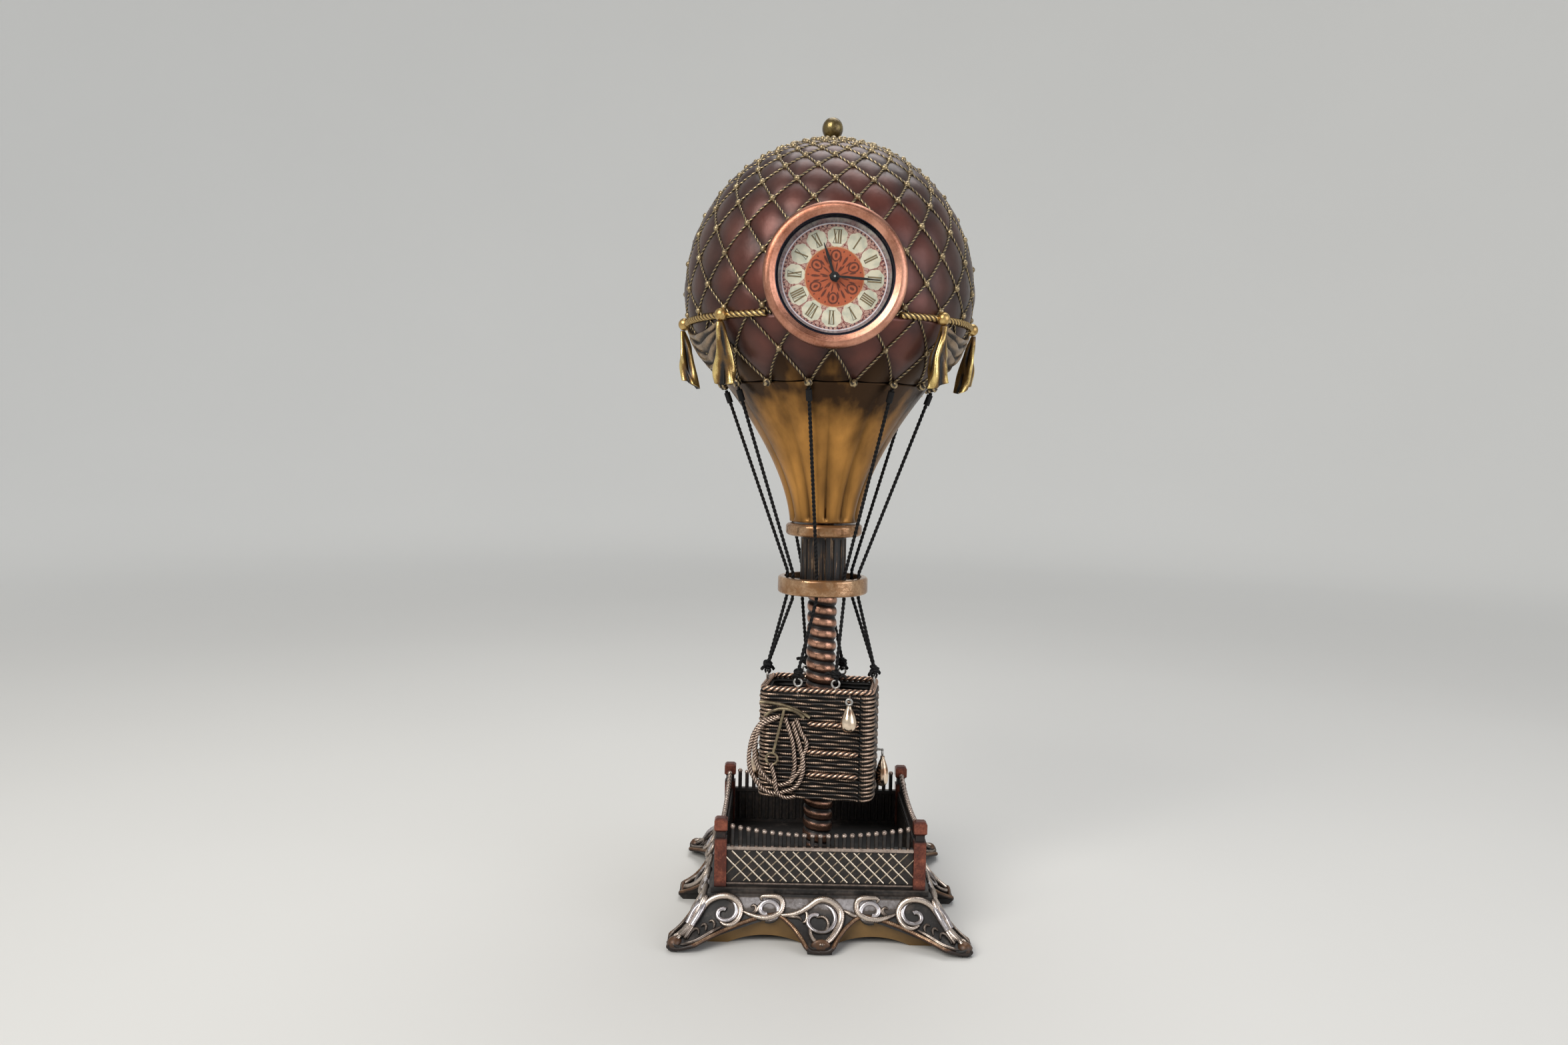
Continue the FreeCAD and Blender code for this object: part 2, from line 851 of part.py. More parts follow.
def sandbag_hooks():
    """A wire ring that stands on each bag's neck, with a pin back to the weave."""
    hooks = []
    for across, back, radius, top, length in bag_hangers():
        height = top + bag_hook_radius + bag_hook_wire
        centre = point(across, back, height)
        facing = ACROSS if abs(across) > abs(back) else BACKWARD
        pin_top = centre.add(point(0, 0, bag_hook_radius))
        wall_x = math.copysign(basket_width / 2, across) if facing == ACROSS else across
        wall_y = back if facing == ACROSS else math.copysign(basket_depth / 2, back)
        pin = rod(bag_hook_wire, pin_top, point(wall_x, wall_y, pin_top.z))
        loop = ring(bag_hook_radius, bag_hook_wire, centre, facing)
        hooks.append(turned(single(joined([loop, pin])), basket_turn_deg))
    return group(hooks)


# Coiled rope and grapnel on the front of the basket

def coil_edges():
    """An oval spiral of half turns and straight runs, drawn in by one step each turn."""
    back = -(basket_depth / 2 + coil_strand_radius + seat_gap)
    reach = coil_width / 2 - coil_strand_radius
    rise = coil_height / 2 - coil_strand_radius - reach
    left = -reach
    right = reach

    def place(across, up):
        return basket_place(coil_across + across, back, basket_bottom + coil_middle_rise + up)

    edges = []
    start = place(left, -rise)
    here = start
    for index in range(coil_turns):
        top_left = place(left, rise)
        edges.append(Part.makeLine(here, top_left))
        crown = place((left + right) / 2, rise + (right - left) / 2)
        edges.append(Part.Arc(top_left, crown, place(right, rise)).toShape())
        edges.append(Part.makeLine(place(right, rise), place(right, -rise)))
        next_left = left + coil_step
        foot = place((next_left + right) / 2, -rise - (right - next_left) / 2)
        here = place(next_left, -rise)
        edges.append(Part.Arc(place(right, -rise), foot, here).toShape())
        left = next_left
        right = right - coil_step
    return edges, start


def rope_coil():
    edges, start = coil_edges()
    coil = swept(edges, start, UP, coil_strand_radius)
    print("rope coil: least gap between turns", round(coil_step - 2 * coil_strand_radius, 3))
    return single(coil)


def grapnel_anchor():
    """A shank with two curved arms, one just behind the other, hung up over the coil."""
    before = -(basket_depth / 2 + 2 * coil_strand_radius + 2 * seat_gap + anchor_arm_radius)
    behind = before + 2 * anchor_arm_radius - seat_gap

    def place(across, up, depth):
        return basket_place(coil_across + across, depth, basket_bottom + coil_middle_rise + up)

    def arm(reach, left_rise, crown_rise, depth):
        start = place(anchor_crown_across - reach, anchor_crown_rise + left_rise, depth)
        crown = place(anchor_crown_across, anchor_crown_rise + crown_rise, depth)
        end = place(anchor_crown_across + reach, anchor_crown_rise - anchor_arm_drop, depth)
        edge = Part.Arc(start, crown, end).toShape()
        return swept([edge], start, edge.tangentAt(edge.FirstParameter), anchor_arm_radius)

    crown = place(anchor_crown_across, anchor_crown_rise, before)
    eye = place(anchor_ring_across, anchor_ring_rise, before)
    shank_end = eye.add(scaled(crown.sub(eye).normalize(), anchor_ring_radius))
    return single(joined([
        rod(anchor_shank_radius, shank_end, crown),
        arm(anchor_arm_reach, -anchor_arm_drop, 0.0, before),
        arm(anchor_back_arm_reach, anchor_back_arm_rise, anchor_back_arm_rise / 2, behind),
        ring(anchor_ring_radius, anchor_ring_wire, eye, turned_axis(basket_turn_deg))]))


# Load hoop, web, throat and mouth ring

def rounded_band(inner, outer, low, high, rounding):
    inset = rounding * (1 - math.sin(math.radians(45)))
    return single(lathe_outline((inner, low), [
        (outer - rounding, low),
        ((outer - inset, low + inset), (outer, low + rounding)),
        (outer, high - rounding),
        ((outer - inset, high - inset), (outer - rounding, high)),
        (inner, high)]))


def cord_azimuths():
    return [first_bead_deg + index * 360 / cord_count for index in range(cord_count)]


def hoop_web():
    disc = rod(hoop_inner_radius - fit_gap, point(0, 0, web_bottom), point(0, 0, web_top))
    cuts = [rod(rod_radius + fit_gap, point(0, 0, hoop_bottom), point(0, 0, hoop_top))]
    for azimuth in cord_azimuths():
        low = round_balloon(cord_hoop_radius, azimuth, hoop_bottom)
        high = round_balloon(cord_hoop_radius, azimuth, hoop_top)
        cuts.append(rod(cord_notch_radius, low, high))
    return single(disc.cut(cuts))


def throat():
    barrel = rod(throat_radius, point(0, 0, web_top), point(0, 0, collar_bottom))
    cuts = [rod(rod_radius + fit_gap, point(0, 0, hoop_bottom), point(0, 0, collar_top))]
    for index in range(throat_flute_count):
        angle = 360 * index / throat_flute_count
        foot = on_circle(throat_radius, angle, web_top + 2 * throat_flute_radius)
        head = on_circle(throat_radius, angle, collar_bottom - 2 * throat_flute_radius)
        cuts.append(rod(throat_flute_radius, foot, head))
    return single(barrel.cut(cuts))


# Envelope

def skirt_radius(z):
    share = (z - collar_top) / (seam_height - collar_top)
    return mouth_radius + (seam_radius - mouth_radius) * share ** flare_power


def envelope_skirt():
    """A solid flare from the mouth ring up to the seam, its edge one smooth curve."""
    count = 8
    points = []
    for index in range(count + 1):
        z = collar_top + (seam_height - collar_top) * index / count
        points.append(point(skirt_radius(z), 0, z))
    curve = Part.BSplineCurve()
    curve.interpolate(points)
    foot = point(0, 0, collar_top)
    head = point(0, 0, seam_height)
    edges = [Part.makeLine(foot, points[0]), curve.toShape(), Part.makeLine(points[-1], head),
             Part.makeLine(head, foot)]
    flare = lathe(Part.Face(Part.Wire(edges)))
    bore = rod(rod_radius + fit_gap, point(0, 0, collar_bottom), point(0, 0, rod_top + fit_gap))
    return single(flare.cut(bore))


def belly_drop():
    """The lower half's depth, set so that the balloon meets the skirt at the seam."""
    return (equator_height - seam_height) / math.sqrt(1 - (seam_radius / equator_radius) ** 2)


def balloon_radius(z):
    reach = upper_rise if z > equator_height else belly_drop()
    return equator_radius * math.sqrt(1 - ((z - equator_height) / reach) ** 2)


def oval_arc(centre, across, rise, low_share, high_share):
    """The right-hand arc of an upright oval, between two heights given as shares of its rise."""
    side = centre.add(point(across, 0, 0))
    top = centre.add(point(0, 0, rise))
    low = math.asin(low_share)
    high = math.asin(high_share)
    if rise > across:
        oval = Part.Ellipse(top, side, centre)
        return Part.ArcOfEllipse(oval, math.pi / 2 - high, math.pi / 2 - low).toShape()
    oval = Part.Ellipse(side, centre.sub(point(0, 0, rise)), centre)
    return Part.ArcOfEllipse(oval, -high, -low).toShape()


def balloon_solid(grow, low, high):
    """The balloon between two heights, grown evenly by an amount."""
    centre = point(0, 0, equator_height)
    equator = equator_radius + grow
    rise = upper_rise + grow
    drop = belly_drop() + grow
    low_share = (low - equator_height) / drop
    top_reach = rise if high > equator_height else drop
    high_share = (high - equator_height) / top_reach
    if high > equator_height:
        edges = [oval_arc(centre, equator, drop, low_share, 0),
                 oval_arc(centre, equator, rise, 0, high_share)]
    else:
        edges = [oval_arc(centre, equator, drop, low_share, high_share)]
    low_radius = equator * math.sqrt(1 - low_share ** 2)
    top_radius = equator * math.sqrt(1 - high_share ** 2)
    edges.append(Part.makeLine(point(0, 0, low), point(low_radius, 0, low)))
    edges.append(Part.makeLine(point(top_radius, 0, high), point(0, 0, high)))
    edges.append(Part.makeLine(point(0, 0, high), point(0, 0, low)))
    return lathe(Part.Face(Part.Wire(Part.__sortEdges__(edges))))


def along_clock(radius, front, back):
    """A rod along the clock's axis, between two depths."""
    start = point(0, bezel_front + front, clock_height)
    return rod(radius, start, start.add(point(0, back - front, 0)))


def envelope_shell():
    """The solid balloon, its round seat for the clock, and the pocket that the clock slides into."""
    balloon = balloon_solid(0.0, seam_height, crown_height)
    seat = along_clock(seat_boss_radius, bezel_depth, pocket_depth)
    pocket = along_clock(pocket_radius, bezel_depth - overrun, pocket_depth)
    return single(joined([balloon, seat]).cut(pocket))


def crown_cap():
    top = crown_height + cap_thickness
    edge = cap_thickness / 2
    return single(lathe_outline((0.0, crown_height), [
        (cap_radius, crown_height), (cap_radius, crown_height + edge),
        (cap_radius - edge, top), (0.0, top)]))


def finial():
    foot = crown_height + cap_thickness
    neck_top = foot + finial_neck_height
    top = neck_top + finial_height
    low_share = math.sqrt(1 - (finial_neck_radius / finial_radius) ** 2)
    high_share = math.sqrt(1 - (finial_tip_radius / finial_radius) ** 2)
    rise = finial_height / (low_share + high_share)
    centre = point(0, 0, neck_top + low_share * rise)
    edges = [oval_arc(centre, finial_radius, rise, -low_share, high_share),
             Part.makeLine(point(0, 0, foot), point(finial_neck_radius, 0, foot)),
             Part.makeLine(point(finial_neck_radius, 0, foot), point(finial_neck_radius, 0, neck_top)),
             Part.makeLine(point(finial_tip_radius, 0, top), point(0, 0, top)),
             Part.makeLine(point(0, 0, top), point(0, 0, foot))]
    return single(lathe(Part.Face(Part.Wire(Part.__sortEdges__(edges)))))


# Rope band, knots, drapery

def band_rope_middle():
    return balloon_radius(band_height) + band_rope_radius + fit_gap


def knot_middle():
    return balloon_radius(band_height) + swag_knot_radius + seat_gap


def swag_knot_angles():
    return [swag_knot_first_deg + index * swag_knot_step_deg for index in range(swag_knot_count)]


def band_rope():
    """The rope between the knots, and from the end knots to the bezel."""
    middle = band_rope_middle()
    knot_half_deg = math.degrees(math.asin(swag_knot_radius / knot_middle()))
    stops = [band_front_end_deg - knot_half_deg] + swag_knot_angles()
    stops = stops + [360 - band_front_end_deg + knot_half_deg]
    pieces = []
    for here, there in zip(stops, stops[1:]):
        start = here + knot_half_deg
        section = Part.Face(Part.Wire(Part.Circle(point(0, -middle, band_height), ACROSS,
                                                  band_rope_radius).toShape()))
        section = turned(section, start)
        pieces.append(section.revolve(ORIGIN, UP, there - here - 2 * knot_half_deg))
    return group(pieces)


def swag_knots():
    return group([Part.makeSphere(swag_knot_radius, round_balloon(knot_middle(), angle, band_height))
                  for angle in swag_knot_angles()])


def swag():
    """One hanging length of cloth at the front: folds that lie one below another, each thinner."""
    low = band_height - swag_bottom_droop - overrun
    inner = balloon_solid(fit_gap, low, band_height)
    top = band_height - band_rope_radius - fit_gap
    half_width = knot_middle() * math.sin(math.radians(swag_knot_step_deg / 2)) - swag_end_gap

    def place(pair):
        return point(pair[0], -equator_radius / 2, pair[1])

    def droop(share):
        return top - swag_top_droop - share * (swag_bottom_droop - swag_top_droop)

    folds = []
    for index in range(swag_fold_count):
        upper = index / swag_fold_count
        lower = (index + 1) / swag_fold_count
        upper_end = top - upper * swag_end_depth
        lower_end = top - lower * swag_end_depth
        band = outline(place, (-half_width, upper_end), [
            ((0.0, droop(upper)), (half_width, upper_end)),
            (half_width, lower_end),
            ((0.0, droop(lower)), (-half_width, lower_end))])
        thickness = swag_thickness * (1 - index * swag_fold_step_share)
        outer = balloon_solid(thickness + fit_gap, low, band_height)
        folds.append(band.extrude(point(0, -equator_radius, 0)).common(outer.cut(inner)))
    return single(joined(folds))


def swags():
    one = swag()
    pieces = []
    for angle in swag_knot_angles()[1:]:
        pieces.append(turned(one, angle - swag_knot_step_deg / 2))
    return group(pieces)


def tail_section(width, fold, middle, z):
    """A strip of cloth folded three times, cut level."""
    half = tail_thickness / 2
    front = []
    behind = []
    for index in range(tail_fold_count + 1):
        across = width * (index / tail_fold_count - 1 / 2)
        wave = fold / 2 * (1 if index % 2 else -1)
        front.append(point(across, -(middle + wave + half), z))
        behind.append(point(across, -(middle + wave - half), z))
    return Part.makePolygon(front + behind[::-1] + front[:1])


def swag_tails():
    top = band_height - swag_knot_radius - fit_gap
    head_middle = knot_middle() + tail_top_out
    foot_middle = knot_middle() - tail_bottom_in
    high = tail_section(tail_top_width, tail_fold_depth / 3, head_middle, top)
    low = tail_section(tail_bottom_width, tail_fold_depth, foot_middle, top - tail_length)
    tail = Part.makeLoft([high, low], True, True)
    return group([turned(single(tail), angle) for angle in swag_knot_angles()])


# Net beads, rigging cords and their knots

def bead_middle(azimuth):
    """A bead's centre, one radius out from the balloon's face at the seam."""
    drop = belly_drop()
    height = equator_height - seam_height
    across = seam_radius / equator_radius ** 2
    down = height / drop ** 2
    length = math.hypot(across, down)
    stand_off = bead_radius + fit_gap
    radius = seam_radius + stand_off * across / length
    return round_balloon(radius, azimuth, seam_height - stand_off * down / length)


def net_slope(height):
    """A height as the net's own measure, in which a square mesh stays square up the balloon."""
    reach = upper_rise if height > equator_height else belly_drop()
    angle = math.asin((height - equator_height) / reach)
    return math.log(math.tan(math.pi / 4 + angle / 2))


def net_place(turn, slope, stand):
    """A place over the balloon's face, from its turn round the balloon and its net measure, both in radians."""
    angle = 2 * math.atan(math.exp(slope)) - math.pi / 2
    reach = upper_rise if angle > 0 else belly_drop()
    height = equator_height + (reach + stand) * math.sin(angle)
    return round_balloon((equator_radius + stand) * math.cos(angle), math.degrees(turn), height)


def net_cord(start, end, low):
    """A flat cord over the balloon's face between two places of the net, standing low off the face."""
    run = (end[0] - start[0], end[1] - start[1])
    count = math.ceil(math.hypot(run[0], run[1]) * equator_radius / net_section_spacing) + 1
    sections = []
    for index in range(count + 1):
        turn = start[0] + run[0] * index / count
        slope = start[1] + run[1] * index / count
        middle = net_place(turn, slope, 0)
        outward = net_place(turn, slope, net_cord_depth).sub(middle).normalize()
        ahead = net_place(turn + run[0] / count, slope + run[1] / count, 0)
        behind = net_place(turn - run[0] / count, slope - run[1] / count, 0)
        side = ahead.sub(behind).cross(outward).normalize()
        corners = []
        for way, stand in ((-1, low), (1, low), (1, low + net_cord_depth), (-1, low + net_cord_depth)):
            corners.append(middle.add(scaled(side, way * net_cord_width / 2)).add(scaled(outward, stand)))
        sections.append(Part.makePolygon(corners + corners[:1]))
    return single(Part.makeLoft(sections, True, False))


def beside_clock(start, end):
    """The stretches of a net line that don't run behind the clock's seat."""
    steps = 400
    stretches = []
    here = None
    for index in range(steps + 1):
        along = index / steps
        spot = (start[0] + along * (end[0] - start[0]), start[1] + along * (end[1] - start[1]))
        place = net_place(spot[0], spot[1], 0)
        away = math.hypot(place.x, place.z - clock_height)
        free = place.y > 0 or away > seat_boss_radius + net_cord_width
        if free and here is None:
            here = spot
        if here is not None and (not free or index == steps):
            stretches.append((here, spot))
            here = None
    return [pair for pair in stretches
            if math.dist(pair[0], pair[1]) * equator_radius > net_section_spacing / 2]


def net_cords():
    """The net above the rope band, and the net's lower ends from the beads up to the swags.
    Cords of one lean lie on those of the other."""
    column = 2 * math.pi / net_column_count
    row = net_row_height / equator_radius
    bottom = net_slope(band_height + swag_knot_radius + fit_gap)
    crown = math.acosh(equator_radius / (cap_radius + net_cord_width))
    bead_gap = 2 * math.pi / bead_count
    low_start = net_slope(seam_height + bead_radius)
    swag_edge = band_height - band_rope_radius - swag_bottom_droop - net_cord_width
    cords = []
    for way, low in ((-1, fit_gap), (1, net_cord_depth + 2 * fit_gap)):
        lean = way * column / 2 / row
        for index in range(net_column_count):
            turn = index * column
            for start, end in beside_clock((turn + lean * bottom, bottom), (turn + lean * crown, crown)):
                cords.append(net_cord(start, end, low))
        for index in range(bead_count):
            turn = math.radians(first_bead_deg) + index * bead_gap
            share = bead_radius / net_low_row_height
            top_share = (swag_edge - seam_height) / net_low_row_height
            start = (turn + way * bead_gap / 2 * share, low_start)
            end = (turn + way * bead_gap / 2 * top_share, net_slope(swag_edge))
            cords.append(net_cord(start, end, low))
    return cords


def net_beads():
    """The net over the balloon and the beads that it ends in."""
    beads = [Part.makeSphere(bead_radius, bead_middle(first_bead_deg + index * 360 / bead_count))
             for index in range(bead_count)]
    return group(beads + net_cords())


def cord_ends():
    """Which eyelet each cord ends at, and to which side of its knot, in the order of the azimuths.
    Two cords share the knot at each end of the basket and lie side by side there."""
    front_left, front_right, back_left, back_right, left, right = eyelet_places()
    return [(front_left, 0), (front_right, 0), (right, -1), (right, 1),
            (back_right, 0), (back_left, 0), (left, 1), (left, -1)]


def cord_end_place(eyelet, side):
    height = eyelet_height() + eyelet_ring_radius + knot_loop_radius + knot_radius
    return basket_place(eyelet[0], eyelet[1] + side * (cord_radius + fit_gap), height)


def cord_points(azimuth, eyelet, side):
    """From the bead, in over the hoop, down through the web, and out to the knot."""
    bead = bead_middle(azimuth)
    over = round_balloon(cord_hoop_radius, azimuth, hoop_top + cord_bend_clearance)
    under = round_balloon(cord_hoop_radius, azimuth, hoop_bottom - cord_bend_clearance)
    knot = cord_end_place(eyelet, side)
    from_bead = over.sub(bead).normalize()
    from_knot = under.sub(knot).normalize()
    top = bead.add(scaled(from_bead, bead_radius + fit_gap))
    bottom = knot.add(scaled(from_knot, knot_radius + fit_gap))
    return [top, over, under, bottom]


def rounded_path(points):
    """Straight runs joined by tangent arcs of the same tangent length."""
    edges = []
    here = points[0]
    for corner, after in zip(points[1:], points[2:]):
        incoming = corner.sub(here).normalize()
        outgoing = after.sub(corner).normalize()
        start = corner.sub(scaled(incoming, cord_bend_length))
        end = corner.add(scaled(outgoing, cord_bend_length))
        half_turn = incoming.getAngle(outgoing) / 2
        radius = cord_bend_length / math.tan(half_turn)
        inward = outgoing.sub(incoming).normalize()
        centre = corner.add(scaled(inward, radius / math.cos(half_turn)))
        middle = centre.sub(scaled(inward, radius))
        edges.append(Part.makeLine(here, start))
        edges.append(Part.Arc(start, middle, end).toShape())
        print("cord bend radius", round(radius, 2), "turn", round(math.degrees(2 * half_turn), 1))
        here = end
    edges.append(Part.makeLine(here, points[-1]))
    return edges


def rigging_cords():
    cords = []
    for azimuth, (eyelet, side) in zip(cord_azimuths(), cord_ends()):
        points = cord_points(azimuth, eyelet, side)
        edges = rounded_path(points)
        cords.append(single(swept(edges, points[0], points[1].sub(points[0]), cord_radius)))
    return group(cords)


def cord_whippings():
    pieces = []
    for azimuth, (eyelet, side) in zip(cord_azimuths(), cord_ends()):
        points = cord_points(azimuth, eyelet, side)
        along = points[1].sub(points[0]).normalize()
        start = points[0].add(scaled(along, bead_radius - cord_radius))
        end = start.add(scaled(along, whipping_length))
        pieces.append(tube(whipping_radius, cord_radius + fit_gap / 2, start, end))
    return group(pieces)


def rigging_knots():
    """A knot over each eyelet, a loop through its ring, and two cut ends."""
    pieces = []
    for across, back, turn in eyelet_places():
        height = eyelet_height() + eyelet_ring_radius
        knot_height = height + knot_loop_radius + knot_radius
        centre = point(across, back, knot_height)
        loop_axis = turned_axis(turn + 90)
        parts = [Part.makeSphere(knot_radius, centre),
                 ring(knot_loop_radius, knot_loop_wire, point(across, back, height), loop_axis)]
        side = loop_axis.cross(UP)
        for direction in (1, -1):
            lean = scaled(loop_axis, direction).add(scaled(side, direction / 2)).add(
                scaled(UP, knot_tail_rise_share)).normalize()
            tip = centre.add(scaled(lean, knot_tail_length))
            parts.append(rod(knot_tail_radius, centre, tip))
        pieces.append(turned(single(joined(parts)), basket_turn_deg))
    return group(pieces)


# Clock insert, built with its axis upright and then laid back into the balloon

def laid_back(shape):
    """Local height becomes depth behind the bezel's front, and local -Y becomes up."""
    return moved(turned(shape, -90, ACROSS), point(0, bezel_front, clock_height))


def disc(radius, front, back, hole=0.0):
    body = rod(radius, point(0, 0, front), point(0, 0, back))
    if hole:
        body = body.cut(rod(hole, point(0, 0, front - overrun), point(0, 0, back + overrun)))
    return body


def bezel():
    shoulder = (bezel_radius + bezel_crest_radius) / 2
    return lathe_outline((bezel_opening, bezel_lip_depth), [
        (bezel_crest_radius, 0.0),
        ((shoulder + (bezel_radius - shoulder) / 2, bezel_rim_depth / 3), (bezel_radius, bezel_rim_depth)),
        (bezel_radius, bezel_depth),
        (case_radius + fit_gap, bezel_depth),
        (case_radius + fit_gap, lens_back),
        (lens_radius + fit_gap, lens_back),
        (lens_radius + fit_gap, lens_front),
        (bezel_opening, lens_front)])


def case_cup():
    return tube(case_radius, case_inner_radius, point(0, 0, lens_back), point(0, 0, case_back_end))


def gasket_ring():
    inner = case_radius + fit_gap
    low = gasket_start
    high = low + gasket_rib_count * gasket_rib_pitch
    valley = gasket_radius - gasket_rib_depth
    steps = [(valley, low)]
    for index in range(gasket_rib_count):
        foot = low + index * gasket_rib_pitch
        steps.append(((gasket_radius, foot + gasket_rib_pitch / 2), (valley, foot + gasket_rib_pitch)))
    return lathe_outline((inner, low), steps + [(inner, high)])


def reflector_ring():
    outer = case_inner_radius - fit_gap
    return lathe_outline((reflector_front_radius, lens_back + fit_gap), [
        (outer, lens_back + fit_gap),
        (outer, dial_front),
        (reflector_back_radius, dial_front),
        (reflector_back_radius, dial_front - reflector_lip)])


def dial():
    return disc(case_inner_radius - fit_gap, dial_front, dial_back, dial_hole_radius)


def setting_place(depth=0.0):
    distance = (cannon_teeth + minute_wheel_teeth) * motion_module_fast / 2
    return on_circle(distance, setting_direction_deg, depth)


def train_step(direction_deg, wheel_teeth):
    """From one arbor to the next: the wheel there meshes with a pinion here, or the reverse."""
    distance = (wheel_teeth + train_pinion_teeth) * train_module / 2
    return on_circle(distance, direction_deg)


def train_places():
    centre = ORIGIN
    third = centre.add(train_step(third_direction_deg, centre_wheel_teeth))
    seconds = third.add(train_step(seconds_direction_deg, third_wheel_teeth))
    step = seconds.add(train_step(step_direction_deg, seconds_wheel_teeth))
    rotor = step.add(train_step(rotor_direction_deg, step_wheel_teeth))
    return centre, third, seconds, step, rotor


def main_plate():
    outer = case_inner_radius - fit_gap
    rim = tube(outer, outer - plate_rim, point(0, 0, dial_back), point(0, 0, plate_back))
    parts = [disc(outer, plate_front, plate_back), rim]
    for angle in pillar_angles_deg:
        parts.append(rod(pillar_radius, on_circle(pillar_circle_radius, angle, plate_front),
                         on_circle(pillar_circle_radius, angle, bridge_front)))
    holes = [rod(setting_arbor_radius + pivot_gap, setting_place(), setting_place(plate_back + overrun))]
    for place in train_places():
        holes.append(rod(pivot_hole_radius, place, place.add(point(0, 0, plate_back + overrun))))
    return joined(parts).cut(holes)


def train_bridge():
    outer = case_inner_radius - seat_gap
    battery_middle = point(0, -battery_up, bridge_front - overrun)
    hole_radius = battery_radius + battery_clearance
    holes = [rod(hole_radius, battery_middle, battery_middle.add(point(0, 0, 2 * overrun))),
             rod(setting_arbor_radius + pivot_gap, setting_place(), setting_place(bridge_back + overrun))]
    for place in train_places():
        holes.append(rod(pivot_hole_radius, place, place.add(point(0, 0, bridge_back + overrun))))
    return disc(outer, bridge_front, bridge_back).cut(holes)


def battery():
    return rod(battery_radius, point(0, -battery_up, battery_front), point(0, -battery_up, battery_back))


def battery_contact():
    low = point(-contact_half_length, -battery_up - contact_width / 2, battery_back)
    return box(low, low.add(point(2 * contact_half_length, contact_width, contact_thickness)))


def circuit_board():
    radius = case_inner_radius - board_inset
    front = plate_back + fit_gap
    area = box(point(-radius, -radius, front), point(radius, -board_bottom, battery_front))
    return disc(radius, front, battery_front).common(area)


def drive_coil():
    parts = []
    half = coil_half_length
    depth = plate_back + coil_bobbin_rise

    def along(radius, start, end):
        return rod(radius, point(start, coil_bobbin_down, depth), point(end, coil_bobbin_down, depth))

    parts.append(along(coil_winding_radius, -half, half))
    for side in (-1, 1):
        parts.append(along(coil_flange_radius, side * half, side * (half + coil_flange_thickness)))
        parts.append(along(coil_core_radius, side * half, side * (half + 3 * coil_flange_thickness)))
    return joined(parts)


def stator():
    """Two soft-iron poles from the coil's ends to the rotor, with a gap between them."""
    rotor = train_places()[4]
    front = plate_back + stator_rise
    back = front + stator_thickness
    hole_radius = rotor_magnet_radius + stator_hole_gap
    coil_end = coil_half_length + coil_flange_thickness + fit_gap
    foot = coil_bobbin_down + coil_core_radius
    shelf = coil_bobbin_down - coil_flange_radius - fit_gap
    right = box(point(rotor.x - stator_pole_half, rotor.y - stator_pole_half, front),
                point(coil_end + stator_leg_width, foot, back))
    coil_room = box(point(-coil_end, shelf, front - overrun), point(coil_end, foot + overrun, back + overrun))
    right = right.cut([coil_room, rod(hole_radius, rotor, rotor.add(point(0, 0, back + overrun)))])
    left = joined([box(point(-coil_end - stator_leg_width, shelf - stator_leg_width, front),
                       point(-coil_end, foot, back)),
                   box(point(-coil_end - stator_leg_width, shelf - stator_leg_width, front),
                       point(rotor.x - stator_pole_half - seat_gap, shelf, back))])
    return group([single(right), single(left)])


def case_back():
    outer = case_inner_radius - seat_gap
    plate_front_face = case_back_end - case_back_plate
    hole = setting_place()
    body = joined([disc(outer, plate_front_face, case_back_end),
                   tube(outer, outer - case_wall, point(0, 0, case_back_front), point(0, 0, case_back_end))])
    return body.cut(rod(knob_radius + knob_clearance, hole, hole.add(point(0, 0, case_back_end + overrun))))


def toothed(teeth, module, first_deg, front, back):
    """A wheel of straight-flanked teeth, with one tooth at the first angle."""
    pitch_radius = teeth * module / 2
    root = pitch_radius - tooth_root_share * module
    tip = pitch_radius + tooth_tip_share * module
    turn = 360 / teeth
    corners = []
    for index in range(teeth):
        middle = first_deg + index * turn
        corners.append(on_circle(root, middle - tooth_root_width_share * turn, front))
        corners.append(on_circle(tip, middle - tooth_tip_width_share * turn, front))
        corners.append(on_circle(tip, middle + tooth_tip_width_share * turn, front))
        corners.append(on_circle(root, middle + tooth_root_width_share * turn, front))
    return Part.Face(Part.makePolygon(corners + corners[:1])).extrude(point(0, 0, back - front))


def gap_angle(direction_deg, teeth):
    """Where a wheel's first tooth goes so that a gap faces a direction."""
    return direction_deg + 180 / teeth


def hand(length, half_width, boss_radius, hole_radius, front, angle_deg):
    """A slim blade that swells before its tip, pointing at local -Y and then turned."""
    belly = length * hand_belly_share
    tail = (-hand_root_half_width, -hand_tail_length)
    blade = outline(lambda pair: point(pair[0], -pair[1], front), tail, [
        (hand_root_half_width, -hand_tail_length),
        (half_width, belly),
        (hand_tip_half_width, length),
        (-hand_tip_half_width, length),
        (-half_width, belly)])
    blade = blade.extrude(point(0, 0, hand_thickness))
    boss = disc(boss_radius, front, front + hand_thickness)
    shape = joined([blade, boss]).cut(disc(hole_radius, front - overrun, front + overrun))
    return turned(shape, angle_deg)


def cannon_pinion():
    front = cannon_front
    parts = [disc(cannon_radius, front, motion_fast_back),
             toothed(cannon_teeth, motion_module_fast, setting_direction_deg, motion_fast_front, motion_fast_back)]
    return joined(parts).cut(disc(train_arbor_radius + pivot_gap, front - overrun, motion_fast_back + overrun))


def hour_wheel():
    first = gap_angle(setting_direction_deg, hour_wheel_teeth)
    front = hour_hand_front
    parts = [disc(hour_tube_radius, front, motion_slow_back),
             toothed(hour_wheel_teeth, motion_module_slow, first, motion_slow_front, motion_slow_back)]
    return joined(parts).cut(disc(cannon_radius + seat_gap, front - overrun, motion_slow_back + overrun))


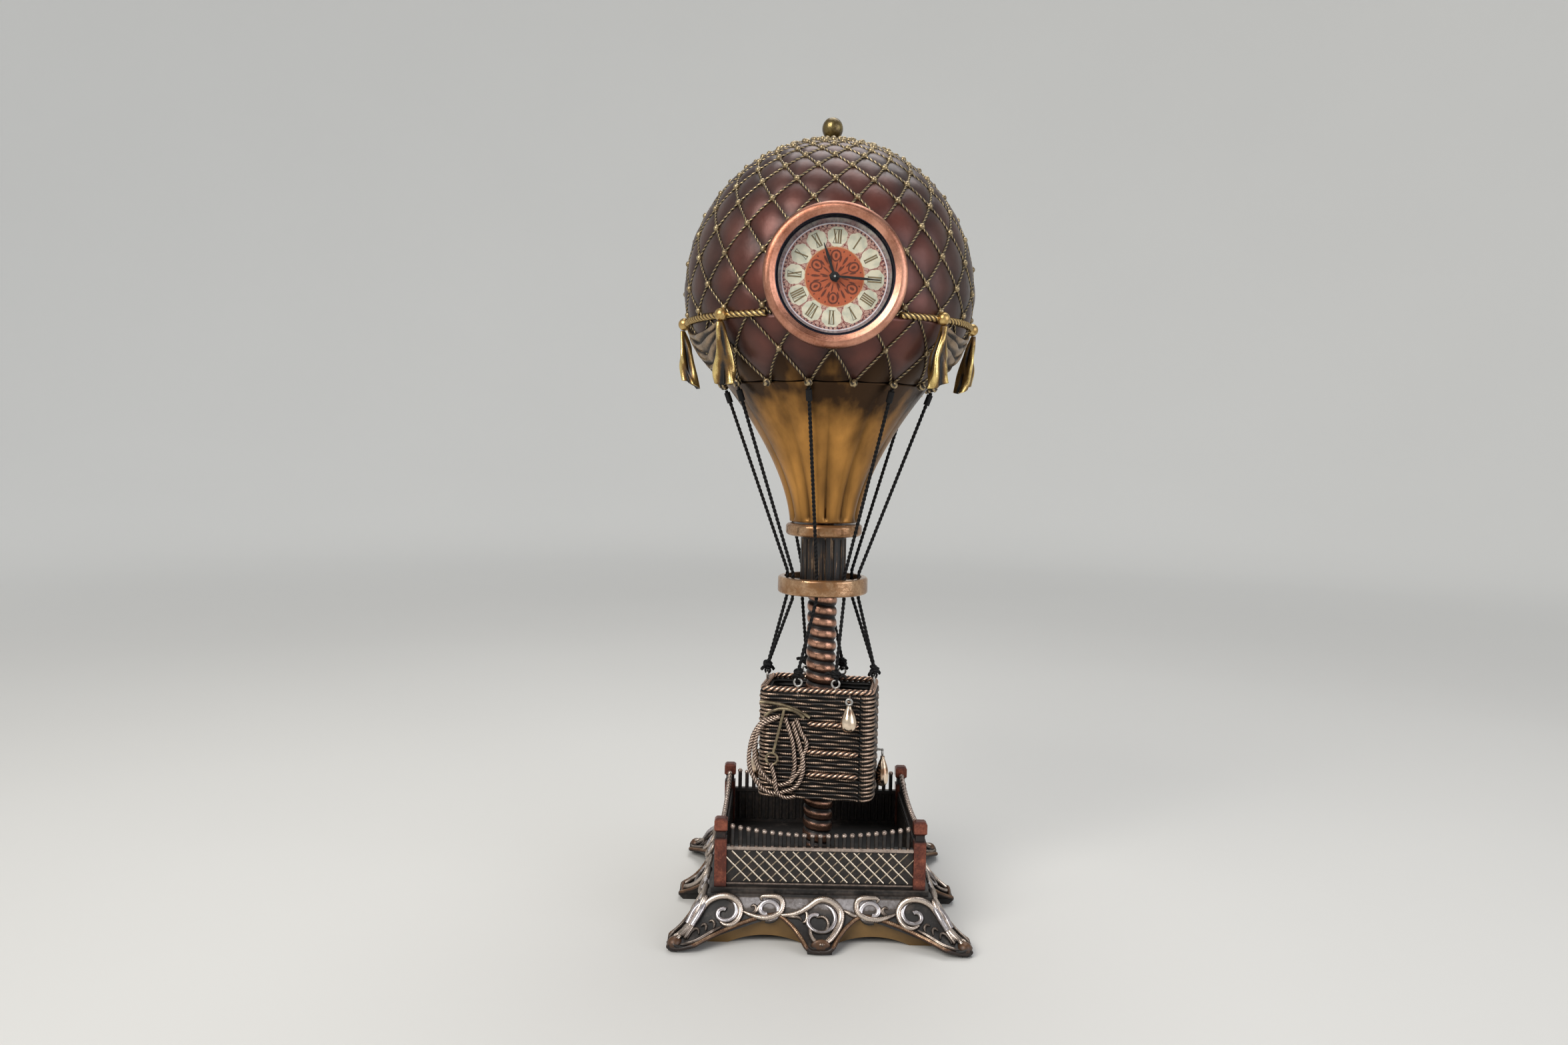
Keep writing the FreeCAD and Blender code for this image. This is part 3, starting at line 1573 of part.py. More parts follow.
def minute_wheel():
    facing = setting_direction_deg + 180
    wheel = toothed(minute_wheel_teeth, motion_module_fast, gap_angle(facing, minute_wheel_teeth),
                    motion_fast_front, motion_fast_back)
    pinion = toothed(minute_pinion_teeth, motion_module_slow, facing, motion_slow_front, motion_fast_front)
    arbor = disc(setting_arbor_radius, setting_arbor_front, knob_front)
    return moved(joined([wheel, pinion, arbor]), setting_place())


def setting_knob():
    knob = disc(knob_radius, knob_front, knob_front + knob_length)
    grooves = []
    for index in range(knob_groove_count):
        foot = on_circle(knob_radius, 360 * index / knob_groove_count, knob_front)
        grooves.append(rod(knob_groove_radius, foot, foot.add(point(0, 0, knob_length))))
    return moved(knob.cut(grooves), setting_place())


def train_wheel(place, teeth, level, pinion_level, to_wheel_deg, wheel_first_deg, front, back):
    """An arbor between the plates with its wheel and pinion."""
    parts = [disc(train_arbor_radius, front, back)]
    parts.append(toothed(teeth, train_module, wheel_first_deg, level, level + train_wheel_thickness))
    if pinion_level:
        parts.append(toothed(train_pinion_teeth, train_module, to_wheel_deg, pinion_level,
                             pinion_level + train_wheel_thickness))
    return moved(joined(parts), place)


def going_train():
    centre, third, seconds, step, rotor = train_places()
    wheels = {}
    wheels["centre_wheel"] = train_wheel(
        centre, centre_wheel_teeth, centre_level, None, 0.0,
        gap_angle(third_direction_deg, centre_wheel_teeth), cannon_front + hand_thickness, bridge_back)
    wheels["third_wheel"] = train_wheel(
        third, third_wheel_teeth, third_level, centre_level, third_direction_deg + 180,
        gap_angle(seconds_direction_deg, third_wheel_teeth), plate_front, bridge_back)
    wheels["seconds_wheel"] = train_wheel(
        seconds, seconds_wheel_teeth, seconds_level, third_level, seconds_direction_deg + 180,
        gap_angle(step_direction_deg, seconds_wheel_teeth), plate_front, bridge_back)
    wheels["step_wheel"] = train_wheel(
        step, step_wheel_teeth, step_level, seconds_level, step_direction_deg + 180,
        gap_angle(rotor_direction_deg, step_wheel_teeth), plate_front, bridge_back)
    magnet_front = plate_back + rotor_magnet_rise
    magnet = disc(rotor_magnet_radius, magnet_front, magnet_front + rotor_magnet_thickness)
    pinion = toothed(train_pinion_teeth, train_module, rotor_direction_deg + 180, step_level,
                     step_level + train_wheel_thickness)
    arbor = disc(train_arbor_radius, plate_front, bridge_back)
    wheels["rotor"] = moved(joined([arbor, magnet, pinion]), rotor)
    return wheels


def stand_pieces():
    basket_floor_top = basket_bottom + basket_floor
    panel = fence_panel()
    return {
        "base_casting": base_casting(),
        "corner_posts": corner_posts(),
        "fence_front": panel,
        "fence_right": turned(panel, 90),
        "fence_back": turned(panel, 180),
        "fence_left": turned(panel, 270),
        "lower_column": ringed_column(platform_top, basket_bottom),
        "upper_column": ringed_column(basket_floor_top, web_bottom),
        "tie_rod": rod(rod_radius, point(0, 0, rod_bottom), point(0, 0, rod_top)),
        "rod_washer": tube(washer_radius, rod_radius + fit_gap, point(0, 0, deck_underside - washer_thickness),
                           point(0, 0, deck_underside)),
        "rod_nut": rod_nut(),
        "basket_body": basket_body(),
        "basket_rim_rope": basket_rim_rope(),
        "basket_ropes": basket_ropes(),
        "eyelets": eyelets(),
        "sandbags": sandbags(),
        "sandbag_hooks": sandbag_hooks(),
        "rope_coil": rope_coil(),
        "grapnel_anchor": grapnel_anchor(),
        "load_hoop": rounded_band(hoop_inner_radius, hoop_outer_radius, hoop_bottom, hoop_top, hoop_round),
        "hoop_web": hoop_web(),
        "throat": throat(),
        "mouth_collar": rounded_band(rod_radius + fit_gap, collar_radius, collar_bottom, collar_top, collar_round),
        "envelope_skirt": envelope_skirt(),
        "envelope_shell": envelope_shell(),
        "crown_cap": crown_cap(),
        "finial": finial(),
        "band_rope": band_rope(),
        "swag_knots": swag_knots(),
        "swags": swags(),
        "swag_tails": swag_tails(),
        "net_beads": net_beads(),
        "rigging_cords": rigging_cords(),
        "cord_whippings": cord_whippings(),
        "rigging_knots": rigging_knots(),
    }


def clock_pieces():
    pieces = {
        "bezel": bezel(),
        "lens": disc(lens_radius, lens_front, lens_back),
        "reflector_ring": reflector_ring(),
        "dial": dial(),
        "case_cup": case_cup(),
        "gasket_ring": gasket_ring(),
        "main_plate": main_plate(),
        "train_bridge": train_bridge(),
        "battery": battery(),
        "battery_contact": battery_contact(),
        "circuit_board": circuit_board(),
        "drive_coil": drive_coil(),
        "stator": stator(),
        "case_back": case_back(),
        "minute_hand": hand(minute_hand_length, minute_hand_half_width, minute_boss_radius,
                            cannon_radius + fit_gap / 2, minute_hand_front, minute_angle_deg),
        "hour_hand": hand(hour_hand_length, hour_hand_half_width, hour_boss_radius,
                          hour_tube_radius + fit_gap / 2, hour_hand_front, hour_angle_deg),
        "cannon_pinion": cannon_pinion(),
        "hour_wheel": hour_wheel(),
        "minute_wheel": minute_wheel(),
        "setting_knob": setting_knob(),
    }
    pieces.update(going_train())
    return {name: laid_back(single(shape)) for name, shape in pieces.items()}


os.makedirs("parts", exist_ok=True)
nodes = stand_pieces()
nodes.update(clock_pieces())
for name, shape in nodes.items():
    if not shape.isValid() or not shape.Solids:
        raise ValueError(name + " is not a valid solid")
    shape.exportStep("parts/" + name + ".step")
print(len(nodes), "nodes written")
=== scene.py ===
import math

import bpy
import numpy as np
from mathutils import Matrix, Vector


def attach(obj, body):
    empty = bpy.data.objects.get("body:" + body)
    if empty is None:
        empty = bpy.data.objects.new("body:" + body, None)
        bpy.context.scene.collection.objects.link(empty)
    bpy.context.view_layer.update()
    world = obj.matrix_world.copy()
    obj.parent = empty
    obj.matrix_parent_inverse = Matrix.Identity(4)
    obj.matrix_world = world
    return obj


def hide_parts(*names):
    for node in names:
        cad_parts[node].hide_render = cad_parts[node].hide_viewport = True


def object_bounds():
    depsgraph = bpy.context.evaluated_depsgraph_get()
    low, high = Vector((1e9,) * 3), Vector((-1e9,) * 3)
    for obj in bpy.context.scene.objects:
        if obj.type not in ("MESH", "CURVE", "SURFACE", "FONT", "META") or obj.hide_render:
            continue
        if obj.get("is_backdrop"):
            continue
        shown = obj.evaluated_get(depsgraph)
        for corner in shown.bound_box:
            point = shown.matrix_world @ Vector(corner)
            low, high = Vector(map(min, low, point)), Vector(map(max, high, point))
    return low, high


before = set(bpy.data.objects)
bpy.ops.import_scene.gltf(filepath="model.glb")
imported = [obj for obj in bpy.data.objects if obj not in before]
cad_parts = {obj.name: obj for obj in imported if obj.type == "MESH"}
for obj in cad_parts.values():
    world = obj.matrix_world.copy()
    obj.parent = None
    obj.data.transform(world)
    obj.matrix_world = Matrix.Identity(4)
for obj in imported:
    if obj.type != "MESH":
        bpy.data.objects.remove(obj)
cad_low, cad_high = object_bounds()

# Studio: a pale round floor that bends up into a plain wall, one soft lamp from
# the upper left, weaker ones from the right and above, and an even pale room.
# The camera stands level with the balloon's skirt and is tipped a little down.
scene = bpy.context.scene
scene.view_settings.view_transform = "Standard"


class Socket:
    """An output of a node. Arithmetic on it adds Math nodes to the same tree."""

    def __init__(self, graph, link):
        self.graph, self.link = graph, link

    def math(self, operation, *others):
        return self.graph.math(operation, self, *others)

    def __abs__(self):
        return self.math("ABSOLUTE")


operations = {"add": "ADD", "sub": "SUBTRACT", "mul": "MULTIPLY", "truediv": "DIVIDE", "pow": "POWER",
              "mod": "MODULO", "lt": "LESS_THAN", "gt": "GREATER_THAN"}
for sign, operation in operations.items():
    setattr(Socket, f"__{sign}__", lambda a, b, kind=operation: a.graph.math(kind, a, b))
    if sign in ("add", "sub", "mul", "truediv"):
        setattr(Socket, f"__r{sign}__", lambda a, b, kind=operation: a.graph.math(kind, b, a))


def tint(red, green, blue):
    """A colour as it looks on a screen, 0 to 255, turned into light values."""
    parts = [part / 255 for part in (red, green, blue)]
    return (*(part / 12.92 if part < 0.04045 else ((part + 0.055) / 1.055) ** 2.4 for part in parts), 1.0)


class Graph:
    """A shader or geometry tree that nodes are added to one after the other."""

    def __init__(self, tree):
        self.tree = tree

    def node(self, kind, inputs=None, output=0, **settings):
        node = self.tree.nodes.new(kind)
        for name, value in settings.items():
            if name == "stops":
                ramp = node.color_ramp.elements
                ramp.remove(ramp[1])
                for index, (place, colour) in enumerate(value):
                    stop = ramp[0] if index == 0 else ramp.new(place)
                    stop.position, stop.color = place, tint(*colour)
            else:
                setattr(node, name, value)
        for name, value in (inputs or {}).items():
            if isinstance(value, Socket):
                self.tree.links.new(value.link, node.inputs[name])
            else:
                node.inputs[name].default_value = value
        return Socket(self, node.outputs[output])

    def math(self, operation, *terms):
        return self.node("ShaderNodeMath", dict(enumerate(terms)), operation=operation)

    def mix(self, share, *colours):
        """From one colour to the other, each a socket or three screen values."""
        first, second = (colour if isinstance(colour, Socket) else tint(*colour) for colour in colours)
        return self.node("ShaderNodeMix", {0: share, 6: first, 7: second}, 2, data_type="RGBA")

    def fade(self, value, low, high):
        """0 below one value, 1 above the other, smooth between them."""
        return self.node("ShaderNodeMapRange", {0: value, 1: low, 2: high}, interpolation_type="SMOOTHSTEP")

    def band(self, value, low, rise, fall, high):
        """1 between rise and fall, 0 below low and above high."""
        return self.fade(value, low, rise) * (1 - self.fade(value, fall, high))

    def axes(self, place, names="XYZ"):
        return [self.node("ShaderNodeSeparateXYZ", {0: place}, axis) for axis in names]

    def noise(self, place, scale, detail=3.0):
        return self.node("ShaderNodeTexNoise", {"Vector": place, "Scale": scale, "Detail": detail})


class Finish(Graph):
    """A material, and the nodes that its shader's inputs come from."""

    def __init__(self, name):
        self.material = bpy.data.materials.new(name)
        self.material.use_nodes = True
        super().__init__(self.material.node_tree)
        self.place = self.node("ShaderNodeTexCoord", output="Object")

    def stored(self, name):
        """A number that the mesh keeps at each of its points."""
        return self.node("ShaderNodeAttribute", output="Fac", attribute_name=name)

    def bump(self, strength, depth, height):
        return self.node("ShaderNodeBump", {"Strength": strength, "Distance": depth, "Height": height})

    def wear(self, **values):
        shader = self.tree.nodes["Principled BSDF"]
        for key, value in values.items():
            socket = shader.inputs[key.replace("_", " ")]
            if isinstance(value, Socket):
                self.tree.links.new(value.link, socket)
            else:
                socket.default_value = value
        return self.material


def show(name, data):
    """An object in the scene for a mesh, a lamp or the camera."""
    thing = bpy.data.objects.new(name, data)
    scene.collection.objects.link(thing)
    return thing


def add_piece(name, points, faces, material, smooth=True):
    """A mesh piece from points in millimetres."""
    mesh = bpy.data.meshes.new(name)
    mesh.from_pydata((np.array(points, float) / 1000).tolist(), [], faces)
    mesh.materials.append(material)
    mesh.polygons.foreach_set("use_smooth", [smooth] * len(mesh.polygons))
    mesh.update()
    return show(name, mesh)


def around(reach, azimuth, height):
    """A place round the clock's upright middle, its azimuth counted in degrees from the front."""
    reach, azimuth, height = np.broadcast_arrays(reach, np.radians(azimuth), height)
    return np.stack([reach * np.sin(azimuth), -reach * np.cos(azimuth), height], axis=-1)


def ring_faces(count, rings, first=0):
    """Faces between rings of the same count of points."""
    return [tuple(first + level * count + i for level, i in ((low, i), (low, j), (low + 1, j), (low + 1, i)))
            for low in range(rings - 1) for i, j in zip(range(count), [*range(1, count), 0])]


paint = Finish("studio_paint")
x, y = paint.axes(paint.place, "XY")
seen = paint.node("ShaderNodeLightPath", output="Is Camera Ray")
for ray in ("Is Glossy Ray", "Is Transmission Ray"):
    seen = seen.math("MAXIMUM", paint.node("ShaderNodeLightPath", output=ray))
far = paint.fade((x ** 2 + y ** 2) ** 0.5, 0.3, 1.4) * seen
mottled = paint.mix(paint.noise(paint.place, 3.0, 2.0), (212, 211, 207), (220, 219, 215))
paint.wear(Base_Color=mottled, Roughness=0.9, Emission_Color=paint.mix(far, (0, 0, 0), (150, 150, 148)),
           Emission_Strength=1.0)
floor_radius, bend_radius, wall_height, floor_sides = 1100.0, 1000.0, 1700.0, 96
bend = np.linspace(0, math.pi / 2, 24)
reach = np.append(floor_radius + bend_radius * np.sin(bend), floor_radius + bend_radius)
height = np.append(bend_radius - bend_radius * np.cos(bend), wall_height)
bowl = around(reach[:, None], np.arange(floor_sides) * 360 / floor_sides, height[:, None]).reshape(-1, 3)
faces = ring_faces(floor_sides, len(reach)) + [(len(bowl), (i + 1) % floor_sides, i) for i in range(floor_sides)]
add_piece("studio_floor", np.vstack([bowl, [0, 0, 0]]), faces, paint.material)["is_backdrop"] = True

# each lamp's place, width, power and colour
lamps = {"key": ((-0.55, -0.75, 0.80), 0.75, 4.8, (1.0, 0.97, 0.93)),
         "fill": ((0.80, -0.55, 0.35), 0.80, 1.7, (0.92, 0.93, 1.0)),
         "top": ((0.10, 0.30, 1.00), 0.70, 1.9, (1.0, 1.0, 1.0))}
lit_spot = np.array([0, 0, 0.13])
for name, (spot, width, power, colour) in lamps.items():
    light = bpy.data.lights.new(name, "AREA")
    light.size, light.energy, light.spread, light.color = width, power, 2.0, colour
    lamp = show(name, light)
    lamp.location = spot
    aim = lit_spot - spot
    lamp.rotation_euler = (math.acos(-aim[2] / np.linalg.norm(aim)), 0, math.atan2(-aim[0], aim[1]))
scene.world = bpy.data.worlds.new("room")
scene.world.use_nodes = True
room = scene.world.node_tree.nodes["Background"].inputs
room["Color"].default_value = tint(222, 226, 232)
room["Strength"].default_value = 0.38

view = bpy.data.cameras.new("camera")
view.lens, view.sensor_width, view.clip_start = 27.03, 36.0, 0.01
camera = show("camera", view)
camera.location = (-0.0128, -0.376, 0.1491)
camera.rotation_euler = (Matrix.Rotation(math.radians(86.0), 3, "X")
                         @ Matrix.Rotation(math.radians(1.13), 3, "Z")).to_euler()
scene.camera = camera

# Base: a square casting on four corner feet and four short middle toes, its
# flared sides hollowed into a cove. Cast in resin, painted black and rubbed
# with pewter, with scrolls and leaves standing proud of the cove.


def dress(material, *names):
    """Gives CAD nodes a finish."""
    for name in names:
        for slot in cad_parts[name].material_slots:
            slot.material = material


def settle(piece, slot, *nodes, body="stand"):
    """The piece rides on a body and stands for the CAD nodes named. The slot is not used."""
    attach(piece, body)
    if nodes:
        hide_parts(*nodes)


def cast_finish(name, hollow, tone, crest, metallic, rough=(0.5, 0.26), blotch=420.0, grain=0.24, lift=None,
                over=None):
    """Painted resin with rubbed crests. The stored number raised, or lift, is 0 in hollows and 1 on crests."""
    paint = Finish(name)
    inputs = {"Vector": paint.place, "Scale": blotch, "Detail": 4.0, "Roughness": 0.6}
    cloud = paint.node("ShaderNodeTexNoise", inputs)
    fine = paint.noise(paint.place, blotch * 7)
    raised = lift(paint) if lift else paint.stored("raised")
    worn = raised + (cloud - 0.5) * grain * 2 + (fine - 0.5) * grain
    stops = [(0.12, hollow), (0.52, tone), (0.92, crest)]
    colour = paint.node("ShaderNodeValToRGB", {"Fac": worn}, stops=stops)
    shine = paint.fade(worn, 0.15, 0.85)
    return paint.wear(Base_Color=over(paint, colour) if over else colour, Metallic=shine * metallic,
                      Roughness=rough[0] + (rough[1] - rough[0]) * shine,
                      Normal=paint.bump(0.6, 0.00012, cloud + fine * 0.6))


def new_tree(name, sizes):
    """A geometry tree with named inputs: its graph, its inputs' sockets and a function that ends it."""
    tree = bpy.data.node_groups.new(name, "GeometryNodeTree")

    def socket(name, way, kind):
        return tree.interface.new_socket(name, in_out=way, socket_type="NodeSocket" + kind)
    socket("Geometry", "OUTPUT", "Geometry")
    socket("Geometry", "INPUT", "Geometry")
    socket("Finish", "INPUT", "Material")
    for size, value in sizes.items():
        socket(size, "INPUT", "Int" if isinstance(value, int) else "Float").default_value = value
    graph = Graph(tree)
    inputs = {item.name: Socket(graph, item) for item in tree.nodes.new("NodeGroupInput").outputs if item.name}

    def end(shape):
        for kind in ("GeometryNodeSetShadeSmooth", "GeometryNodeRealizeInstances"):
            shape = graph.node(kind, {"Geometry": shape})
        shape = graph.node("GeometryNodeSetMaterial", {"Geometry": shape, "Material": inputs["Finish"]})
        tree.links.new(shape.link, tree.nodes.new("NodeGroupOutput").inputs[0])
    return graph, inputs, end


def store(shape, name, value):
    """Keeps a number at each point of a tree's shape."""
    return shape.graph.node("GeometryNodeStoreNamedAttribute", {"Geometry": shape, "Name": name, "Value": value},
                            data_type="FLOAT", domain="POINT")


def grow(name, graph, mesh, material, **sizes):
    """Runs a geometry tree on a mesh and keeps the plain mesh that comes out."""
    source = show(name + "_source", mesh)
    modifier = source.modifiers.new("build", "NODES")
    modifier.node_group = graph.tree
    values = {"Finish": material, **sizes}
    for item in graph.tree.interface.items_tree:
        if item.in_out == "INPUT" and item.name in values:
            modifier[item.identifier] = values[item.name]
    bpy.context.view_layer.update()
    made = bpy.data.meshes.new_from_object(source.evaluated_get(bpy.context.evaluated_depsgraph_get()))
    source.modifiers.clear()
    bpy.data.objects.remove(source)
    made.name = name
    return show(name, made)


def even_line(points, step=0.5):
    """Evenly spaced places on a smooth line through the given ones."""
    points = np.array(points, float)
    padded = np.vstack([2 * points[0] - points[1], points, 2 * points[-1] - points[-2]])
    share = np.linspace(0, 1, 12, endpoint=False)[:, None]
    parts = [0.5 * (2 * b + (c - a) * share + (2 * a - 5 * b + 4 * c - d) * share ** 2
                    + (3 * b - 3 * c + d - a) * share ** 3)
             for a, b, c, d in zip(padded, padded[1:], padded[2:], padded[3:])]
    dense = np.vstack(parts + [points[-1:]])
    run = run_along(dense)
    return at_stops(np.linspace(0, run[-1], max(int(run[-1] / step), 4) + 1), run, dense)


def run_along(places):
    """The length of a line up to each of its places."""
    return np.concatenate([[0], np.cumsum(np.linalg.norm(np.diff(places, axis=0), axis=1))])


def at_stops(stops, run, values):
    """What a line has at given lengths along it."""
    return np.stack([np.interp(stops, run, column) for column in values.T], axis=1)


def line_mesh(name, lines):
    """Lines in millimetres as (places, thickness), or (places, thickness, True) for a closed one."""
    points, edges, thick = [], [], []
    for places, width, *closed in lines:
        first, count = len(points), len(places)
        points.extend((np.array(places) / 1000).tolist())
        thick.extend(np.broadcast_to(width, (count,)).tolist())
        edges.extend((first + i, first + i + 1) for i in range(count - 1))
        if closed:
            edges.append((first + count - 1, first))
    mesh = bpy.data.meshes.new(name)
    mesh.from_pydata(points, edges, [])
    mesh.attributes.new("thick", "FLOAT", "POINT").data.foreach_set("value", np.array(thick) / 1000)
    return mesh


# a strand swept along lines: round, or laid from several yarns with grooves between them
sizes = {"Step": 0.0005, "Yarns": 0, "Turn": 0.005, "Groove": 0.0, "Sides": 10}
graph, size, end = new_tree("strand", sizes)
path = graph.node("GeometryNodeMeshToCurve", {"Mesh": size["Geometry"]})
path = graph.node("GeometryNodeResampleCurve", {"Curve": path, "Length": size["Step"]}, mode="LENGTH")
thick = graph.node("GeometryNodeInputNamedAttribute", {"Name": "thick"}, data_type="FLOAT")
run = graph.node("GeometryNodeSplineParameter", output="Length")
path = graph.node("GeometryNodeSetCurveTilt", {"Curve": path, "Tilt": run / size["Turn"] * (2 * math.pi)})
ring = graph.node("GeometryNodeCurvePrimitiveCircle", {"Resolution": size["Sides"], "Radius": 1.0})
spot = graph.node("GeometryNodeInputPosition")
across, up = graph.axes(spot, "XY")
crest = abs(graph.math("COSINE", graph.math("ARCTAN2", up, across) * size["Yarns"] / 2))
scale = 1 - (1 - crest ** 0.7) * size["Groove"]
spot = graph.node("ShaderNodeVectorMath", {0: spot, "Scale": scale}, operation="SCALE")
ring = graph.node("GeometryNodeSetPosition", {"Geometry": store(ring, "raised", crest), "Position": spot})
end(graph.node("GeometryNodeCurveToMesh", {"Curve": path, "Profile Curve": ring, "Scale": thick,
                                            "Fill Caps": True}))
strand_tree = graph


def strands(name, lines, material, **sizes):
    """Each line swept into a strand, in one piece."""
    return grow(name, strand_tree, line_mesh(name, lines), material, **sizes)


def set_raised(piece, values):
    """Stores how far each point stands out, 0 to 1."""
    layers = piece.data.attributes
    layer = layers.get("raised") or layers.new("raised", "FLOAT", "POINT")
    values = np.broadcast_to(np.ravel(values), len(piece.data.vertices)).astype(np.float32)
    layer.data.foreach_set("value", values)


def mark_raised(piece, measure):
    """Stores how far each point stands out, worked out from its place in millimetres."""
    places = np.zeros(len(piece.data.vertices) * 3, np.float32)
    piece.data.vertices.foreach_get("co", places)
    set_raised(piece, np.clip(measure(*places.reshape(-1, 3).T * 1000), 0, 1))


def add_tubes(name, tubes, material, smooth=True):
    """Closed tubes in one piece, each given as rings of places from its lower or left end on."""
    faces, first = [], 0
    for tube in tubes:
        rings, count = tube.shape[:2]
        last = first + (rings - 1) * count
        faces += ring_faces(count, rings, first)
        faces += [tuple(range(first, first + count))[::-1], tuple(range(last, last + count))]
        first = last + count
    return add_piece(name, np.vstack([tube.reshape(-1, 3) for tube in tubes]), faces, material, smooth)


# the cove is the arc through three of its points, as reach and height
cove_line = np.array([(44.0, 2.4), (37.385, 6.425), (33.5, 13.9)])
squares = (cove_line ** 2).sum(axis=1)
cove_centre = np.linalg.solve(2 * (cove_line[1:] - cove_line[0]), squares[1:] - squares[0])
cove_radius = math.dist(cove_line[0], cove_centre)


def cove_wear_and_highlight(paint):
    """Rubbed pewter on the curls and the upper edges, and a painted highlight on the upper cove away from the
    corners; black below and in the corners between.
    """
    x, y, z = map(abs, paint.axes(paint.place))
    reach, along = x.math("MAXIMUM", y), x.math("MINIMUM", y)
    # painted highlight: the upper cove is lit in the middle of each side and fades out towards the corners
    cove = paint.band(z, 0.0080, 0.0112, 0.0126, 0.0136) * (1 - paint.fade(along, 0.022, 0.030))
    edge = paint.band(z, 0.0132, 0.0140, 0.0142, 0.0152)
    rim = paint.fade(reach, 0.0318, 0.0325) * paint.fade(z, 0.0148, 0.0153)
    away = ((reach - cove_centre[0] / 1000) ** 2 + (z - cove_centre[1] / 1000) ** 2) ** 0.5
    curl = paint.fade(cove_radius / 1000 - away, 0.0002, 0.0009) * paint.fade(z, 0.0024, 0.0034)
    return 0.08 + cove * 0.66 + edge * 0.16 + rim * 0.2 + curl * 0.7


def table_reflection_under_cove(paint, colour):
    """Painted reflection of the wooden table: a streaky gold band set back under the cove, above the lower edge."""
    x, y, z = map(abs, paint.axes(paint.place))
    reach = x.math("MAXIMUM", y)
    gold = paint.mix(paint.noise(paint.place, 90.0, 4.0), (58, 42, 20), (142, 108, 58))
    # painted reflection of the wooden table in the band under the cove
    return paint.mix((reach < 0.03572) * (z < 0.0079) * (reach > 0.0340), colour, gold)


pewter = cast_finish("rubbed_pewter", (17, 14, 12), (84, 72, 63), (218, 202, 188), 0.9, (0.5, 0.24), grain=0.30)
edge_copper = cast_finish("edge_copper", (34, 22, 15), (100, 70, 48), (210, 178, 146), 0.85, (0.46, 0.24), 300.0,
                          0.34)
# the cove's finish has a painted highlight on the upper cove and a painted reflection of the table in the band under
# it
dress(cast_finish("cove_pewter", (20, 16, 14), (86, 77, 71), (206, 200, 202), 0.8, (0.48, 0.24), 160.0, 0.42,
                  cove_wear_and_highlight, table_reflection_under_cove), "base_casting")


def turned(places, degrees):
    """Places turned round the clock's upright middle."""
    x, y, z = np.moveaxis(np.array(places, float), -1, 0)
    cosine, sine = math.cos(math.radians(degrees)), math.sin(math.radians(degrees))
    return np.stack([x * cosine - y * sine, x * sine + y * cosine, z], axis=-1)


def cove_reach(height):
    """How far the cove's face lies from the middle at a height."""
    return cove_centre[0] - np.sqrt(cove_radius ** 2 - (np.clip(height, 2.4, 13.9) - cove_centre[1]) ** 2)


def on_cove(stroke, lift, side):
    """Places on one side of the base, given across and up, standing out from the cove by lift."""
    across, height = even_line(stroke).T
    out = cove_reach(height)
    back = -out - lift * (cove_centre[0] - out) / cove_radius
    rise = (cove_centre[1] - np.clip(height, 2.4, 13.9)) / cove_radius
    return turned(np.stack([across, back, height + lift * rise], axis=-1), 90 * side)


def out_of_cove(x, y, z):
    """How far a place stands out from the cove, in millimetres."""
    return cove_radius - np.hypot(np.maximum(abs(x), abs(y)) - cove_centre[0], z - cove_centre[1])


def swelling(count, thin, full):
    """A thickness that tapers at both ends of a stroke."""
    return thin + (full - thin) * np.sin(math.pi * np.linspace(0, 1, count)) ** 0.6


def flip(stroke):
    """A stroke on the other half of its side."""
    return [(-across, height) for across, height in stroke]


# strokes on a side's left half as thickness and places across and up; the right half mirrors them
half_strokes = [
    (1.05, [(-29.4, 6.6), (-27.7, 5.9), (-25.7, 6.1), (-24.0, 7.4), (-23.3, 9.4), (-24.1, 11.4), (-26.0, 12.9),
            (-28.4, 13.3), (-31.0, 12.8), (-33.3, 11.4), (-34.8, 9.5), (-36.4, 7.4), (-37.7, 5.2), (-39.4, 3.2)]),
    (0.75, [(-34.0, 13.2), (-34.9, 11.8), (-35.8, 9.7), (-37.0, 7.4), (-38.3, 5.2), (-40.0, 3.6)]),
    (0.65, [(-40.4, 2.3), (-38.6, 2.5), (-36.0, 2.9), (-33.6, 3.7), (-31.2, 4.7), (-28.9, 5.6)]),
    (0.6, [(-40.6, 3.6), (-41.8, 3.9), (-42.7, 3.2), (-42.3, 2.2), (-41.0, 1.7), (-39.4, 1.8)]),
    (0.95, [(-17.0, 12.2), (-17.6, 12.9), (-16.9, 13.4), (-15.0, 13.5), (-12.8, 13.4), (-11.3, 12.6),
            (-10.9, 10.9), (-11.7, 9.1), (-14.0, 8.0), (-16.9, 7.7), (-19.6, 8.2), (-21.6, 8.8), (-22.8, 9.3)]),
    (0.6, [(-16.9, 11.9), (-17.9, 10.6), (-18.6, 9.4), (-19.6, 8.7)]),
    (0.55, [(-20.5, 10.4), (-19.5, 10.9), (-18.7, 10.2), (-19.2, 9.3), (-20.2, 8.9)]),
    (0.5, [(-31.2, 5.2), (-30.9, 6.2), (-31.7, 6.9), (-32.7, 6.6)]),
    (0.5, [(-33.5, 4.7), (-33.3, 5.7), (-34.1, 6.1), (-35.0, 5.5)]),
    (0.5, [(-35.4, 4.0), (-35.6, 5.0), (-36.8, 5.0), (-38.0, 4.1), (-38.6, 3.2)])]
